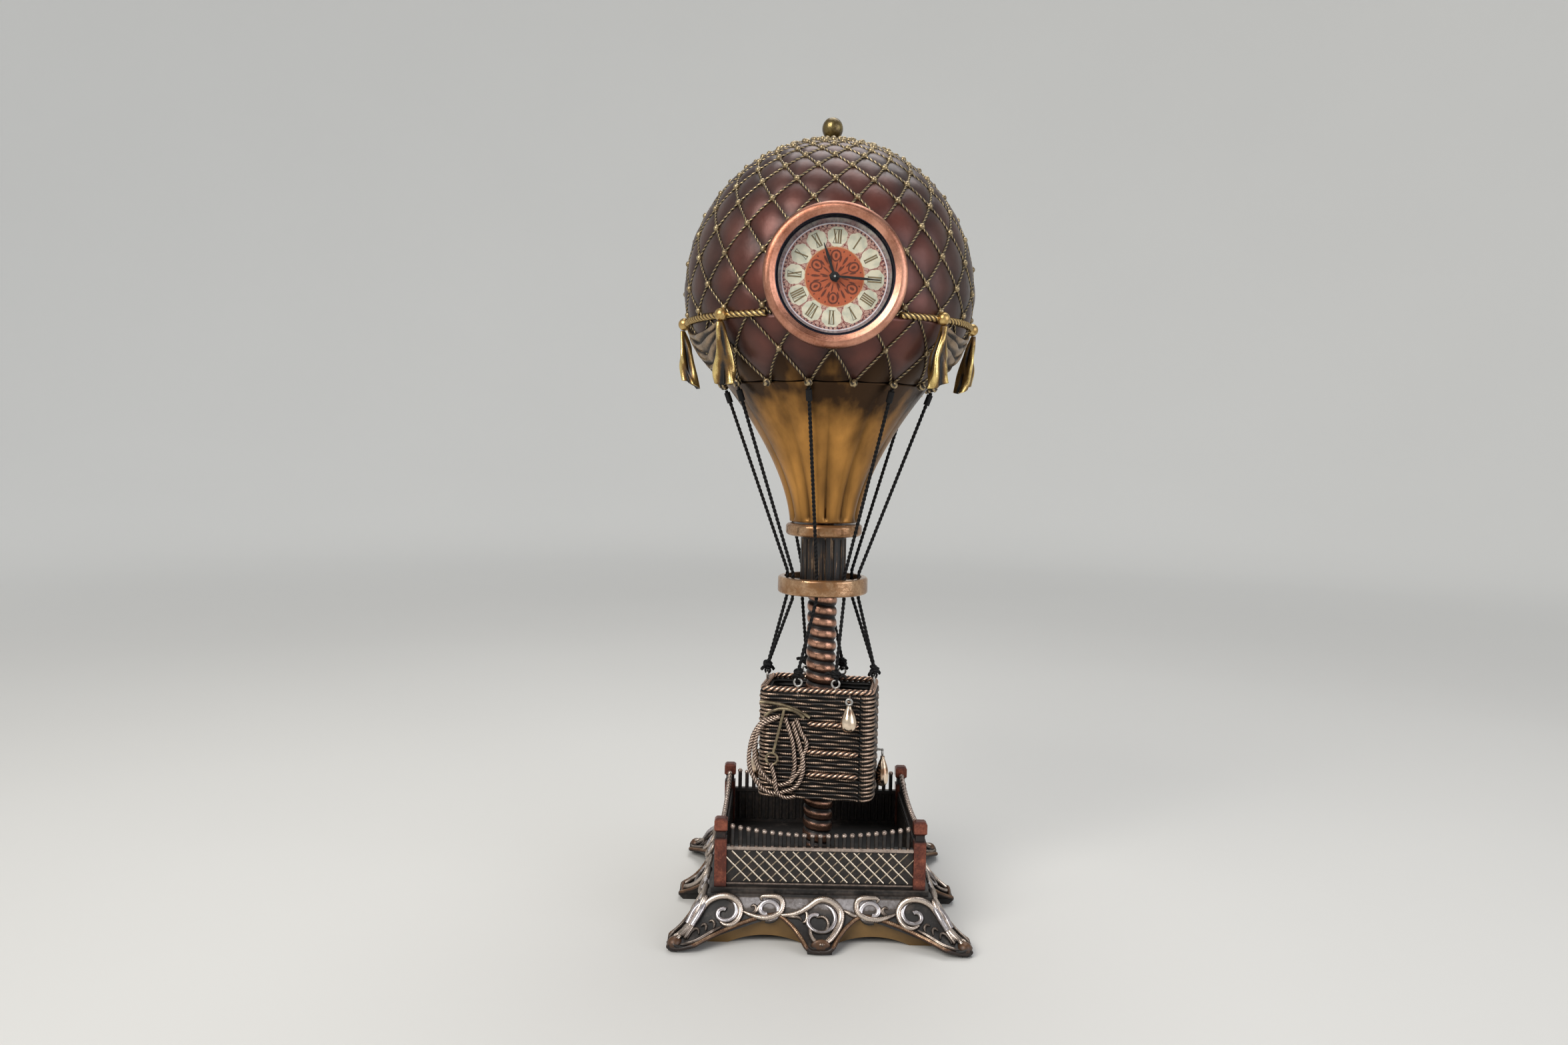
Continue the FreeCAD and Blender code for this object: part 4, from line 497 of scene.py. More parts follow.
middle_strokes = [
    (1.15, [(-11.5, 8.4), (-8.4, 8.6), (-5.8, 9.3), (-3.1, 10.8), (-0.5, 12.5), (2.0, 12.7), (4.6, 11.5), (6.3, 9.6),
            (6.4, 7.5), (5.4, 5.5), (3.4, 3.6), (1.0, 2.7), (-1.0, 2.9), (-2.4, 4.0), (-2.9, 5.4)]),
    (0.7, [(-4.4, 10.0), (-3.6, 8.6), (-3.9, 7.2), (-5.0, 6.7)]),
    (0.6, [(-0.9, 8.0), (1.2, 8.2), (2.6, 7.0), (2.2, 5.4), (0.8, 4.7)]),
    (0.6, [(-9.4, 8.0), (-7.4, 8.1), (-5.9, 7.9), (-5.2, 7.2)]),
    (0.7, [(6.9, 10.0), (8.6, 9.3), (10.2, 8.6), (11.6, 8.7)])]
edge_line = [(0.0, 1.1), (2.4, 1.25), (4.0, 2.4), (5.6, 3.9), (8.6, 6.4), (12.6, 8.5), (18.0, 7.8), (24.0, 6.2),
             (30.0, 4.3), (36.0, 2.5), (40.0, 1.5), (43.0, 1.4)]
toes = (((42.3, -42.3, 2.2), (2.2, 2.2, 2.1)), ((0.3, -43.3, 2.4), (2.9, 0.8, 2.2)))
scrolls, edges, bulbs = [], [], []
corner_heights = np.linspace(13.4, 3.2, 22)
corner = cove_reach(corner_heights) + 0.1
level, turn = np.linspace(-math.pi / 2, math.pi / 2, 15)[:, None], np.linspace(0, 2 * math.pi, 24, endpoint=False)
level, turn = np.broadcast_arrays(level, turn)
ball = np.stack([(np.cos(level) + 0.0001) * np.cos(turn), (np.cos(level) + 0.0001) * np.sin(turn), np.sin(level)],
                axis=-1)
for side in range(4):
    for width, stroke in half_strokes + [(width, flip(stroke)) for width, stroke in half_strokes] + middle_strokes:
        places = on_cove(stroke, 0.2 * width + 0.2, side)
        scrolls.append((places, swelling(len(places), 0.4 * width, width)))
    scrolls.append((turned(np.stack([corner, -corner, corner_heights], axis=1), 90 * side), swelling(22, 0.6, 1.25)))
    edges += [(on_cove(line, 0.0, side), 0.7) for line in (edge_line, flip(edge_line))]
    bulbs += [turned(np.array(spot) + ball * size, 90 * side) for spot, size in toes]
scrolls = strands("base_scrolls", scrolls, pewter, Step=0.0005, Sides=10)
mark_raised(scrolls, lambda x, y, z: np.clip((out_of_cove(x, y, z) - 0.2) / 0.95, 0, 0.92))
settle(scrolls, "pewter_resin")
edges = strands("base_edge", edges, edge_copper, Step=0.0006, Sides=10)
mark_raised(edges, lambda x, y, z: (out_of_cove(x, y, z) + 0.1) / 1.1)
settle(edges, "pewter_resin")
bulbs = add_tubes("base_toes", bulbs, edge_copper)
# the toes go darker towards the floor: the stored number follows height here, up to half way, not how far they stand
# out
mark_raised(bulbs, lambda x, y, z: np.clip(z / 9.0, 0, 0.5))
settle(bulbs, "pewter_resin")

# Corner posts: square turned posts with a neck and a bevelled cap block, cast
# separately, painted a red-brown copper and glued into the platform's corners.


def post_wear(paint):
    """Worn copper on the posts' bodies, a little more on their edges, dark in the necks and darker towards the foot.
    """
    x, y, z = map(abs, paint.axes(paint.place))
    neck = paint.band(z, 0.0292, 0.0302, 0.0316, 0.0326)
    foot = 1 - paint.fade(z, 0.0150, 0.0175)
    edge = paint.fade(abs(x - 0.02985).math("MAXIMUM", abs(y - 0.02985)), 0.0014, 0.0021)
    return 0.50 + edge * 0.14 - neck * 0.4 - foot * 0.3


dress(cast_finish("post_copper", (24, 12, 9), (88, 42, 31), (168, 100, 78), 0.6, (0.52, 0.32), 300.0, 0.40,
                  post_wear), "corner_posts")

# Fence: four low panels between the posts, each a thin wall with a row of
# ball-topped pickets over it, two rails, crossed laths outside and upright
# ribs inside. Cast in resin, black with rubbed pewter on the laths and balls.


def fence_wear(paint):
    """Rubbed balls on the pickets, a worn upper rail and a worn line along the foot."""
    x, y, z = map(abs, paint.axes(paint.place))
    outside = paint.fade(x.math("MAXIMUM", y), 0.0300, 0.0306)
    along = x.math("MINIMUM", y) / 0.028
    ball = z - (0.0300 + 0.0026 * along * along)
    rail = paint.band(z, 0.0262, 0.0265, 0.0274, 0.0277)
    foot = paint.band(z, 0.0158, 0.0160, 0.0163, 0.0165)
    return 0.16 + rail * outside * 0.62 + foot * outside * 0.5 + paint.fade(ball, 0.0, 0.0006) * 0.55


dress(cast_finish("fence_black", (16, 14, 13), (74, 60, 52), (206, 188, 176), 0.8, blotch=520.0, grain=0.26,
                  lift=fence_wear), "fence_front", "fence_back", "fence_left", "fence_right")

# one leaning lath, copied along a side and then round the four sides
sizes = {"Count": 15, "Pitch": 0.00365, "Run": 0.0046, "Low": 0.0168, "High": 0.0260, "Out": 0.0306,
         "Width": 0.0003}
graph, size, end = new_tree("laths", sizes)


def point(x=0.0, y=0.0, z=0.0):
    """A place in the tree that is being built."""
    return graph.node("ShaderNodeCombineXYZ", {"X": x, "Y": y, "Z": z})


low = point(size["Run"], size["Out"] * -1, size["Low"])
high = point(size["Run"] * -1, size["Out"] * -1, size["High"])
lath = graph.node("GeometryNodeCurvePrimitiveLine", {"Start": low, "End": high})
ring = graph.node("GeometryNodeCurvePrimitiveCircle", {"Resolution": 8, "Radius": size["Width"]})
lath = graph.node("GeometryNodeCurveToMesh", {"Curve": lath, "Profile Curve": ring, "Fill Caps": True})
start = point((size["Count"] - 1) * size["Pitch"] * -0.5)
row = {"Count": size["Count"], "Start Location": start, "Offset": point(size["Pitch"])}
row = graph.node("GeometryNodeInstanceOnPoints", {"Points": graph.node("GeometryNodeMeshLine", row),
                                                   "Instance": lath})
sides = graph.node("GeometryNodeMeshLine", {"Count": 4, "Offset": (0, 0, 0)})
turn = point(z=graph.node("GeometryNodeInputIndex") * (math.pi / 2))
end(graph.node("GeometryNodeInstanceOnPoints", {"Points": sides, "Instance": row, "Rotation": turn}))
lath_tree = graph
lath_finish = cast_finish("lath_pewter", (22, 18, 15), (100, 86, 70), (220, 206, 186), 0.9, (0.46, 0.24), 900.0,
                          0.22)
nothing = bpy.data.meshes.new("nothing")
crossed = {"Run": -0.0046, "Width": 0.00026, "Out": 0.03054}
upright = {"Count": 23, "Pitch": 0.0024, "Run": 0.0, "Out": 0.02912, "Width": 0.00055}
for name, sizes, worn in (("fence_laths", {}, 0.9), ("fence_cross_laths", crossed, 0.58),
                          ("fence_ribs", upright, 0.12)):
    laths = grow(name, lath_tree, nothing, lath_finish, **sizes)
    set_raised(laths, worn)
    settle(laths, "bronze_resin")

# Column: one resin rope-twist column in two lengths, below and above the
# basket's floor, threaded on a steel rod. Copper rubbed over black, so the
# rings' crests shine and the grooves between them stay dark.


def rolled_sheet(graph, size):
    """A grid's turn round the middle, its share of the height, and a function that rolls it up."""
    grid = {"Size X": 1.0, "Size Y": 1.0, "Vertices X": size["Around"], "Vertices Y": size["Up"]}
    flat = graph.node("GeometryNodeMeshGrid", grid)
    across, up = graph.axes(graph.node("GeometryNodeInputPosition"), "XY")

    def roll(spot, **layers):
        shape = flat
        for name, value in layers.items():
            shape = store(shape, name, value)
        shape = graph.node("GeometryNodeSetPosition", {"Geometry": shape, "Position": spot})
        return graph.node("GeometryNodeMergeByDistance", {"Geometry": shape, "Distance": 0.000001})
    return (across + 0.5) * (2 * math.pi), up + 0.5, roll


sizes = {"Low": 0.0154, "High": 0.0361, "Core": 0.0037, "Crest": 0.0048, "Pitch": 0.0037, "Around": 48, "Up": 120}
graph, size, end = new_tree("twist", sizes)
turn, share, roll = rolled_sheet(graph, size)
height = size["Low"] + (size["High"] - size["Low"]) * share
phase = (height / size["Pitch"] + turn / (2 * math.pi)).math("FRACT")
crest = (1 - (phase * 2 - 1) ** 2).math("MAXIMUM", 0.0) ** 0.55
closing = (share > 0.0001) * (share < 0.9999)
reach = (size["Core"] + (size["Crest"] - size["Core"]) * crest) * closing + 0.00001
end(roll(point(turn.math("COSINE") * reach, turn.math("SINE") * reach, height), raised=crest ** 2.2 * 0.86))
copper = cast_finish("rubbed_copper", (9, 7, 6), (58, 38, 29), (204, 154, 128), 0.92, (0.5, 0.22), 380.0, 0.26)
for name, low, high, count in (("lower_column", 15.4, 36.1, 130), ("upper_column", 38.1, 102.2, 380)):
    column = grow(name + "_twist", graph, nothing, copper, Low=low / 1000, High=high / 1000, Up=count)
    settle(column, "copper_resin", name)


def cloudy(scale, gain, least, detail=3.0):
    """Wear that varies a little all over a piece."""
    return lambda paint: paint.noise(paint.place, scale, detail) * gain + least


steel = cast_finish("plain_steel", (60, 58, 56), (140, 138, 134), (200, 198, 194), 1.0, (0.45, 0.25), 700.0, 0.2,
                    cloudy(900.0, 0.3, 0.55))
dress(steel, "tie_rod", "rod_washer", "rod_nut")

# Basket: a small open basket that the column passes through, cast with its
# weave, a plaited rim and three short ropes on its front and back. Brown-black
# with beige and copper rubbed along the strands.
basket_turn = -8.0
basket_foot, weave_top, weave_rows = 36.1, 69.8, 27


def basket_spot(across, back, height):
    """A place in the basket's own directions, which stands a little turned on the column."""
    return turned(np.stack(np.broadcast_arrays(across, back, height), axis=-1), basket_turn)


def round_box(half_x, half_y, corner, step=0.5):
    """Evenly spaced places round a box with rounded corners, the outward direction at each and the way round."""
    places, outward = [], []
    for quarter, (sx, sy) in enumerate(((1, -1), (1, 1), (-1, 1), (-1, -1))):
        for turn in np.radians(np.linspace(-90, 0, 9) + 90 * quarter):
            outward.append((math.cos(turn), math.sin(turn)))
            places.append((sx * (half_x - corner) + corner * outward[-1][0],
                           sy * (half_y - corner) + corner * outward[-1][1]))
    places, outward = (np.array(values + values[:1]) for values in (places, outward))
    run = run_along(places)
    stops = np.linspace(0, run[-1], int(round(run[-1] / step)), endpoint=False)
    outward = at_stops(stops, run, outward)
    return at_stops(stops, run, places), outward / np.linalg.norm(outward, axis=1)[:, None], run[-1]


wicker = cast_finish("rubbed_wicker", (9, 7, 6), (42, 32, 25), (186, 160, 140), 0.78, (0.54, 0.26), 300.0, 0.36)
places, outward, _ = round_box(18.3, 12.0, 4.0, 1.2)
wall = [basket_spot(*(places - outward * inset).T, height)
        for inset, height in ((0.75, basket_foot), (0.75, weave_top), (1.95, weave_top), (1.95, 38.1))]
wall = add_tubes("basket_wall", [np.array(wall)], wicker, smooth=False)
set_raised(wall, 0.05)
settle(wall, "wicker_resin")
lines = []
row_pitch = (weave_top - basket_foot) / weave_rows
for row in range(weave_rows):
    for half_x, half_y, corner in ((18.0, 11.7, 3.7), (16.35, 10.05, 2.1)):
        places, outward, length = round_box(half_x, half_y, corner)
        stakes = 2 * round(length / 9.0)
        wave = 0.15 * np.cos(np.arange(len(places)) / len(places) * math.pi * stakes + math.pi * row)
        across, back = (places + outward * wave[:, None]).T
        height = basket_foot + (row + 0.5) * row_pitch + 0.09 * np.sin(across * 0.7 + 2.1 * row)
        lines.append((basket_spot(across, back, height), 0.5, True))
weave = strands("basket_weave", lines, wicker, Step=0.0007, Sides=8)


def out_of_wall(x, y, z):
    """How far a place stands out from the middle of the basket's wall, less between two rows."""
    across, back = abs(turned(np.stack([x, y, z], axis=-1), -basket_turn))[:, :2].T - np.array([[13.3], [7.0]])
    out = np.maximum(np.maximum(across, back), np.hypot(np.maximum(across, 0), np.maximum(back, 0)))
    return (out - 4.6) / 0.7 - abs(((z - basket_foot) / row_pitch) % 1 - 0.5) * 0.8


mark_raised(weave, out_of_wall)
settle(weave, "wicker_resin", "basket_body")

rope_finish = cast_finish("rubbed_rope", (12, 9, 8), (64, 45, 35), (222, 182, 156), 0.9, (0.48, 0.24))
places, outward, length = round_box(17.3, 11.0, 3.0)
rim = [(basket_spot(*places.T, 70.75), 0.98, True)]
rim = strands("rim_rope", rim, rope_finish, Step=0.0003, Yarns=3, Turn=-length / 20 / 1000, Groove=0.34, Sides=18)
settle(rim, "wicker_resin", "basket_rim_rope")
across = np.linspace(-2.4, 13.6, 40)
ends = np.clip(np.minimum(across + 2.4, 13.6 - across) / 0.7, 0.25, 1) ** 0.5
lines = [(basket_spot(across * -face, face * 12.78, height + 0.1 * np.sin(across * 0.8 + height)), 0.88 * ends)
         for height in (44.4, 51.6, 60.6) for face in (-1, 1)]
ropes = strands("side_ropes", lines, rope_finish, Step=0.0003, Yarns=3, Turn=-0.0053, Groove=0.36, Sides=16)
settle(ropes, "copper_resin", "basket_ropes")
dress(steel, "eyelets", "sandbag_hooks")

# Ballast bags: four small drops hung on wire rings, one at each side of the
# basket, one in front and one behind. Cast resin, plated in a bright pale gold.
paint = Finish("pale_gold")
cloud = paint.noise(paint.place, 240.0)
paint.wear(Base_Color=paint.mix(paint.fade(cloud, 0.35, 0.6), (150, 116, 90), (240, 220, 196)), Metallic=1.0,
           Roughness=cloud * 0.14 + 0.12, Normal=paint.bump(0.5, 0.0002, cloud))
share = np.arange(25)[:, None] / 24
turns = np.linspace(0, 2 * math.pi, 28, endpoint=False)
bulge = np.maximum(np.sin(math.pi * share ** 0.68) ** 0.62 * (1 - 0.12 * share), 0.02)
pleat = 1 + 0.05 * np.cos(7 * turns) * share ** 3
bags = []
for across, back, radius, top, length in ((10.7, -16.2, 2.6, 67.6, 8.2), (-10.7, 16.2, 2.6, 67.6, 8.2),
                                          (20.6, 0.0, 2.2, 48.2, 9.9), (-20.6, 0.0, 2.2, 48.2, 9.9)):
    wide = np.where(share < 0.94, radius * bulge, 0.7) * pleat
    bags.append(basket_spot(across + wide * np.cos(turns), back + wide * np.sin(turns), top - length * (1 - share)))
settle(add_tubes("ballast_bags", bags, paint.material), "copper_resin", "sandbags")

# Coil and anchor: a coil of rope and a four-armed anchor hung on the basket's
# front. Both are cast on; the coil has beige-grey rubbed over its lay, the
# anchor a duller olive.
coil_finish = cast_finish("coil_beige", (20, 15, 12), (86, 66, 54), (214, 190, 172), 0.72, blotch=500.0, grain=0.26)
# each length as thickness, depth before the basket's middle, and places across and up
coil_lengths = [
    (0.78, 12.85, [(-11.1, 62.5), (-16.0, 61.1), (-19.3, 56.8), (-20.7, 51.1), (-20.6, 45.7), (-18.9, 42.2),
                   (-16.0, 38.8), (-12.4, 37.7), (-9.8, 38.4), (-5.9, 40.1), (-3.9, 44.1), (-3.6, 48.2),
                   (-4.9, 53.9), (-7.2, 61.1)]),
    (0.74, 12.95, [(-11.4, 62.3), (-17.0, 59.3), (-18.9, 54.0), (-19.1, 50.4), (-18.3, 46.8), (-16.0, 43.6),
                   (-13.7, 41.5), (-11.0, 40.6), (-8.0, 41.6), (-6.2, 44.0)]),
    (0.68, 14.0, [(-13.7, 47.8), (-12.4, 43.3), (-12.1, 40.6), (-11.1, 37.9), (-8.5, 36.9), (-5.6, 37.6)]),
    (0.72, 13.05, [(-9.5, 62.3), (-7.2, 55.4), (-6.5, 51.1), (-6.2, 46.8), (-7.2, 41.8)]),
    (0.68, 12.9, [(-6.0, 61.8), (-4.2, 57.5), (-2.6, 54.7), (-2.9, 52.1), (-3.6, 50.5), (-4.4, 46.0), (-6.6, 43.0)])]
lines = []
for width, depth, places in coil_lengths:
    across, up = even_line(places, 0.4).T
    lines.append((basket_spot(across, -depth, up), width))
coil = strands("coil_of_rope", lines, coil_finish, Step=0.0003, Yarns=3, Turn=0.0030, Groove=0.34, Sides=15)
settle(coil, "copper_resin", "rope_coil")
dress(cast_finish("anchor_olive", (22, 18, 13), (82, 70, 52), (186, 170, 138), 0.7, (0.5, 0.3), 520.0, 0.22,
                  cloudy(420.0, 0.7, 0.28, 2.0)), "grapnel_anchor")

# Rigging: eight black two-ply cords from the balloon's net through the load
# hoop to the basket's eyelets. Real waxed cord, held by a whipping sleeve under
# each bead and tied off with a fat knot whose two ends are cut short.
paint = Finish("waxed_cord")
fuzz = paint.noise(paint.place, 2600.0)
lay = paint.stored("raised")
cord_black = paint.wear(Base_Color=paint.mix(lay * 0.6 + fuzz * 0.5, (5, 5, 6), (26, 25, 26)),
                        Roughness=0.78 - lay * 0.2, Specular_IOR_Level=0.2,
                        Normal=paint.bump(0.5, 0.0001, fuzz))
eyelet_spots = {"front_left": (-5.95, -11.0), "front_right": (5.95, -11.0), "back_left": (-5.95, 11.0),
                "back_right": (5.95, 11.0), "left": (-17.3, 0.0), "right": (17.3, 0.0)}
cord_plan = (("front_left", 0.0), ("front_right", 0.0), ("right", -0.6), ("right", 0.6), ("back_right", 0.0),
             ("back_left", 0.0), ("left", 0.6), ("left", -0.6))
bead_reach, bead_height, hoop_reach, first_bead = 33.4, 166.0, 11.6, -11.25


def towards(start, end):
    """The direction from one place to another."""
    return (end - start) / np.linalg.norm(end - start)


cords, whippings = [], []
for index, (eyelet, beside) in enumerate(cord_plan):
    azimuth = first_bead + 45 * index
    knot = basket_spot(*eyelet_spots[eyelet], 76.55) + np.array([0, beside, 0])
    bead = around(bead_reach, azimuth, bead_height)
    top_gate, low_gate = around(hoop_reach, azimuth, 107.2), around(hoop_reach, azimuth, 99.3)
    down = towards(bead, top_gate)
    start = bead + down * 1.35
    last = knot + towards(knot, low_gate) * 0.9
    runs = ([start, top_gate + (start - top_gate) * 0.02], [top_gate, low_gate],
            [low_gate + (last - low_gate) * 0.02, last])
    cords.append((np.vstack([even_line(run) for run in runs]), 0.6))
    sleeve = even_line([start + down * 0.75, start + down * 4.15], 0.25)
    whippings.append((sleeve, 1.02 - 0.10 * (np.arange(len(sleeve)) % 2)))
cords = strands("black_cords", cords, cord_black, Step=0.0004, Yarns=2, Turn=0.0028, Groove=0.42, Sides=12)
settle(cords, "black_cord", "rigging_cords")
whippings = strands("black_whippings", whippings, cord_black, Step=0.00025, Sides=14)
settle(whippings, "black_cord", "cord_whippings")

# the knots: three bights round the cord, a loop through the ring and two cut ends
rand = np.random.default_rng(4)
lines = []
bight_turns, loop_turns = (np.linspace(0, 2 * math.pi, count, endpoint=False) for count in (26, 22))
for across, back in eyelet_spots.values():
    centre = basket_spot(across, back, 76.3)
    for tilt, wide, rise in ((0.35, 1.0, 0.55), (-0.45, 1.05, -0.15), (0.1, 0.9, -0.75)):
        height = rise + tilt * np.cos(bight_turns + rand.uniform(0, 6))
        bight = np.stack([wide * np.cos(bight_turns), wide * np.sin(bight_turns), height], axis=1)
        lines.append((centre + bight, 0.6, True))
    lines.append((even_line([centre + (0, 0, 1.2), centre + (0.15, 0.1, 0), centre - (0, 0, 1.5)], 0.3), 0.85))
    inward = math.atan2(back, across) + math.radians(basket_turn)
    facing = np.array([math.cos(inward), math.sin(inward), 0])
    loop = np.outer(np.cos(loop_turns) * 0.8, facing) + np.outer(np.sin(loop_turns), (0, 0, 0.8))
    lines.append((basket_spot(across, back, 74.4) + loop, 0.4, True))
    for way in (-1, 1):
        beside = np.array([-facing[1], facing[0], 0]) * way
        lean = beside + facing * 0.5 * way + np.array([0, 0, rand.uniform(-0.6, 0.25)])
        tail = even_line([centre + beside * 0.6, centre + lean * 1.9, centre + lean * 3.0 + (0, 0, -0.5)], 0.3)
        lines.append((tail, np.linspace(0.5, 0.6, len(tail))))
knots = strands("black_knots", lines, cord_black, Step=0.0003, Yarns=2, Turn=0.0028, Groove=0.3, Sides=12)
settle(knots, "black_cord", "rigging_knots")

# Hoop, throat and collar: the load hoop with its web rides on the column, the
# ribbed throat stands on it and a plain collar holds the balloon's mouth. Turned
# bronze-washed rings, and a throat of black resin worn brown down its ribs.
dress(cast_finish("ring_bronze", (56, 38, 24), (138, 98, 62), (226, 190, 154), 0.97, (0.34, 0.12), 200.0, 0.3,
                  cloudy(110.0, 0.7, 0.24)), "load_hoop", "mouth_collar")


def streaks(paint, stretch, scale):
    """Noise drawn out upwards."""
    place = paint.node("ShaderNodeMapping", {"Vector": paint.place, "Scale": (1.0, 1.0, stretch)})
    return paint.noise(place, scale, 4.0)


def throat_wear(paint):
    """Worn streaks running up the throat."""
    return paint.fade(streaks(paint, 0.08, 1500.0), 0.45, 0.70) * 0.6 + 0.10


dress(cast_finish("throat_black", (13, 10, 9), (62, 46, 34), (168, 142, 116), 0.85, grain=0.2,
                  lift=throat_wear), "throat", "hoop_web")

# Skirt: the balloon's lower cone, cast with soft upright pleats that fade
# towards the net, painted an aged gold that darkens near the net and the collar,
# with painted shade in the pleats' hollows and down the skirt's right side.
sizes = {"Low": 0.1229, "High": 0.167, "Neck": 0.011, "Spread": 0.0215, "Power": 1.62, "Pleats": 11,
         "Depth": 0.0013, "Around": 288, "Up": 72}
graph, size, end = new_tree("skirt", sizes)
turn, share, roll = rolled_sheet(graph, size)
pleat = abs(graph.math("SINE", turn * size["Pleats"] / 2 + 0.35 * graph.math("SINE", turn * 3))) ** 0.55
depth = (1 - pleat) * ((1 - share).math("MAXIMUM", 0.0) ** 0.8 * graph.fade(share, 0.0, 0.06))
closing = (share > 0.0001) * (share < 0.9999)
reach = (size["Neck"] + size["Spread"] * share ** size["Power"] - depth * size["Depth"]) * closing + 0.00001
height = size["Low"] + (size["High"] - size["Low"]) * share
end(roll(point(turn.math("SINE") * reach, turn.math("COSINE") * reach * -1, height), raised=1 - depth, gilt=1.0))

# the stored number gilt parts the skirt's gold from the balloon's maroon
clock_height = 195.0
paint = Finish("balloon_paint")
x, y, z = paint.axes(paint.place)
cloud, fine, worn = (paint.noise(paint.place, *grain) for grain in ((120.0, 4.0), (900.0, 3.0), (46.0, 5.0)))
raised, gilt = paint.stored("raised"), paint.stored("gilt")
gold_shade_and_streaks = paint.fade(z, 0.168, 0.148) * 0.78 + (streaks(paint, 0.12, 150.0) - 0.5) * 1.5
# painted shade: the gold is darkened down the skirt's right side
gold_shade_and_streaks = gold_shade_and_streaks - paint.fade(x, -0.004, 0.016) * 0.26 - paint.fade(z, 0.1275, 0.1225) * 0.35
gold = paint.mix(gold_shade_and_streaks.math("MAXIMUM", 0.0), (62, 43, 26), (206, 148, 76))
# painted shade in the pleats' hollows and, on the skin's gilt, along the net's cords
gold = paint.mix((1 - raised) * 0.95, gold, (34, 22, 12))
near = (1 - paint.fade((x ** 2 + (z - clock_height / 1000) ** 2) ** 0.5, 0.022, 0.040)) * (y < 0.0)
red = paint.mix(near * 0.8 + (worn - 0.5) * 0.9, (84, 62, 56), (108, 57, 47))
# painted light: the maroon is lit up in the swelling middle of each mesh (painted highlight) and darkened along the
# net's cords (painted shadow)
maroon = paint.mix(raised ** 0.8 * 0.8 + (cloud - 0.5) * 1.1 + (worn - 0.5) * 0.9, (20, 12, 11), red)
balloon_paint = paint.wear(
    Base_Color=paint.mix(gilt, maroon, gold), Metallic=gilt * 0.45 + 0.4,
    Roughness=0.44 - raised * 0.10 + (fine - 0.5) * 0.2, Normal=paint.bump(0.5, 0.0002, cloud + fine * 0.35))
settle(grow("skirt_pleats", graph, nothing, balloon_paint), "gold_resin", "envelope_skirt")

# Balloon: the shell is a thick casting; its cloth look is cast on, a maroon
# skin that swells between the cords of a net. Twenty columns of meshes above
# the band rope, sixteen below it, which end at a row of beads.
balloon_middle, balloon_reach, upper_rise, lower_drop = 194.4, 44.6, 47.3, 40.01
band_height, net_rows, upper_columns, lower_columns = 185.0, 5.6, 20, 16
sizes = {"Middle": balloon_middle / 1000, "Reach": balloon_reach / 1000, "Rise": upper_rise / 1000,
         "Drop": lower_drop / 1000, "Low Angle": -0.7545, "Bulge": 0.0009, "Stand": 0.0001,
         "Columns": upper_columns, "Rows": net_rows, "Lower Columns": lower_columns, "Bead": bead_height / 1000,
         "Band": band_height / 1000, "Clock Z": clock_height / 1000, "Clock Hole": 0.0189, "Around": 400, "Up": 240}
graph, size, end = new_tree("skin", sizes)
turn, share, roll = rolled_sheet(graph, size)


def swelling_between(columns, rows):
    """0 on the net's cords and 1 in the middle of a mesh."""
    leans = [abs(graph.math("SINE", lean * (math.pi / 2))) for lean in (columns + rows, columns - rows)]
    return (leans[0] * leans[1]) ** 0.5


rise = size["Low Angle"] + (math.pi / 2 - size["Low Angle"]) * share
height = size["Middle"] + graph.math("SINE", rise) * (size["Drop"] + (size["Rise"] - size["Drop"]) * (rise > 0.0))
rows = graph.math("LOGARITHM", graph.math("TANGENT", rise.math("MINIMUM", 1.5) * 0.5 + math.pi / 4), math.e)
above = swelling_between(turn * size["Columns"] / math.pi, rows * size["Rows"])
low_rows = (height - size["Bead"]) / (size["Band"] - size["Bead"]) * 2
low_columns = turn * size["Lower Columns"] / math.pi + 1
below = swelling_between(low_columns, low_rows)
over_band = height > size["Band"]
swell = (below + (above - below) * over_band) * graph.fade(abs(height - size["Band"]), 0.0, 0.0012)
gilt = graph.fade(graph.math("PINGPONG", low_columns, 1.0) - low_rows, 0.02, 0.12) * (1 - over_band)
stand = size["Stand"] + swell * size["Bulge"] * graph.math("COSINE", rise).math("MAXIMUM", 0.0) ** 0.5
reach = graph.math("COSINE", rise) * (size["Reach"] + stand)
height = height + graph.math("SINE", rise) * stand
skin = roll(point(turn.math("SINE") * reach, turn.math("COSINE") * reach * -1, height), raised=swell, gilt=gilt)
across, deep, up = graph.axes(graph.node("GeometryNodeInputPosition"))
behind_clock = ((across ** 2 + (up - size["Clock Z"]) ** 2) ** 0.5 < size["Clock Hole"]) * (deep < 0.0)
end(graph.node("GeometryNodeDeleteGeometry", {"Geometry": skin, "Selection": behind_clock}, domain="POINT"))
settle(grow("balloon_skin", graph, nothing, balloon_paint), "bronze_resin")
# bronze is seen on the clock's seat and inside its pocket, olive bronze on the crown and its finial
plain_wear = cloudy(160.0, 0.4, 0.3)
dress(cast_finish("plain_bronze", (30, 20, 15), (104, 70, 48), (190, 146, 104), 0.85, (0.5, 0.28), 300.0,
                  lift=plain_wear), "envelope_shell")
dress(cast_finish("olive_bronze", (22, 18, 10), (92, 76, 44), (206, 186, 124), 0.95, (0.42, 0.18), 300.0,
                  lift=plain_wear), "crown_cap", "finial")


def on_balloon(azimuth, rise, stand):
    """A place over the balloon's face, its azimuth in degrees and its rise in radians."""
    drop = np.where(rise > 0, upper_rise, lower_drop)
    return around((balloon_reach + stand) * np.cos(rise), azimuth, balloon_middle + (drop + stand) * np.sin(rise))


def rise_at(height):
    """How far round the balloon's lower half a height lies, in radians."""
    return -np.arcsin((balloon_middle - height) / lower_drop)


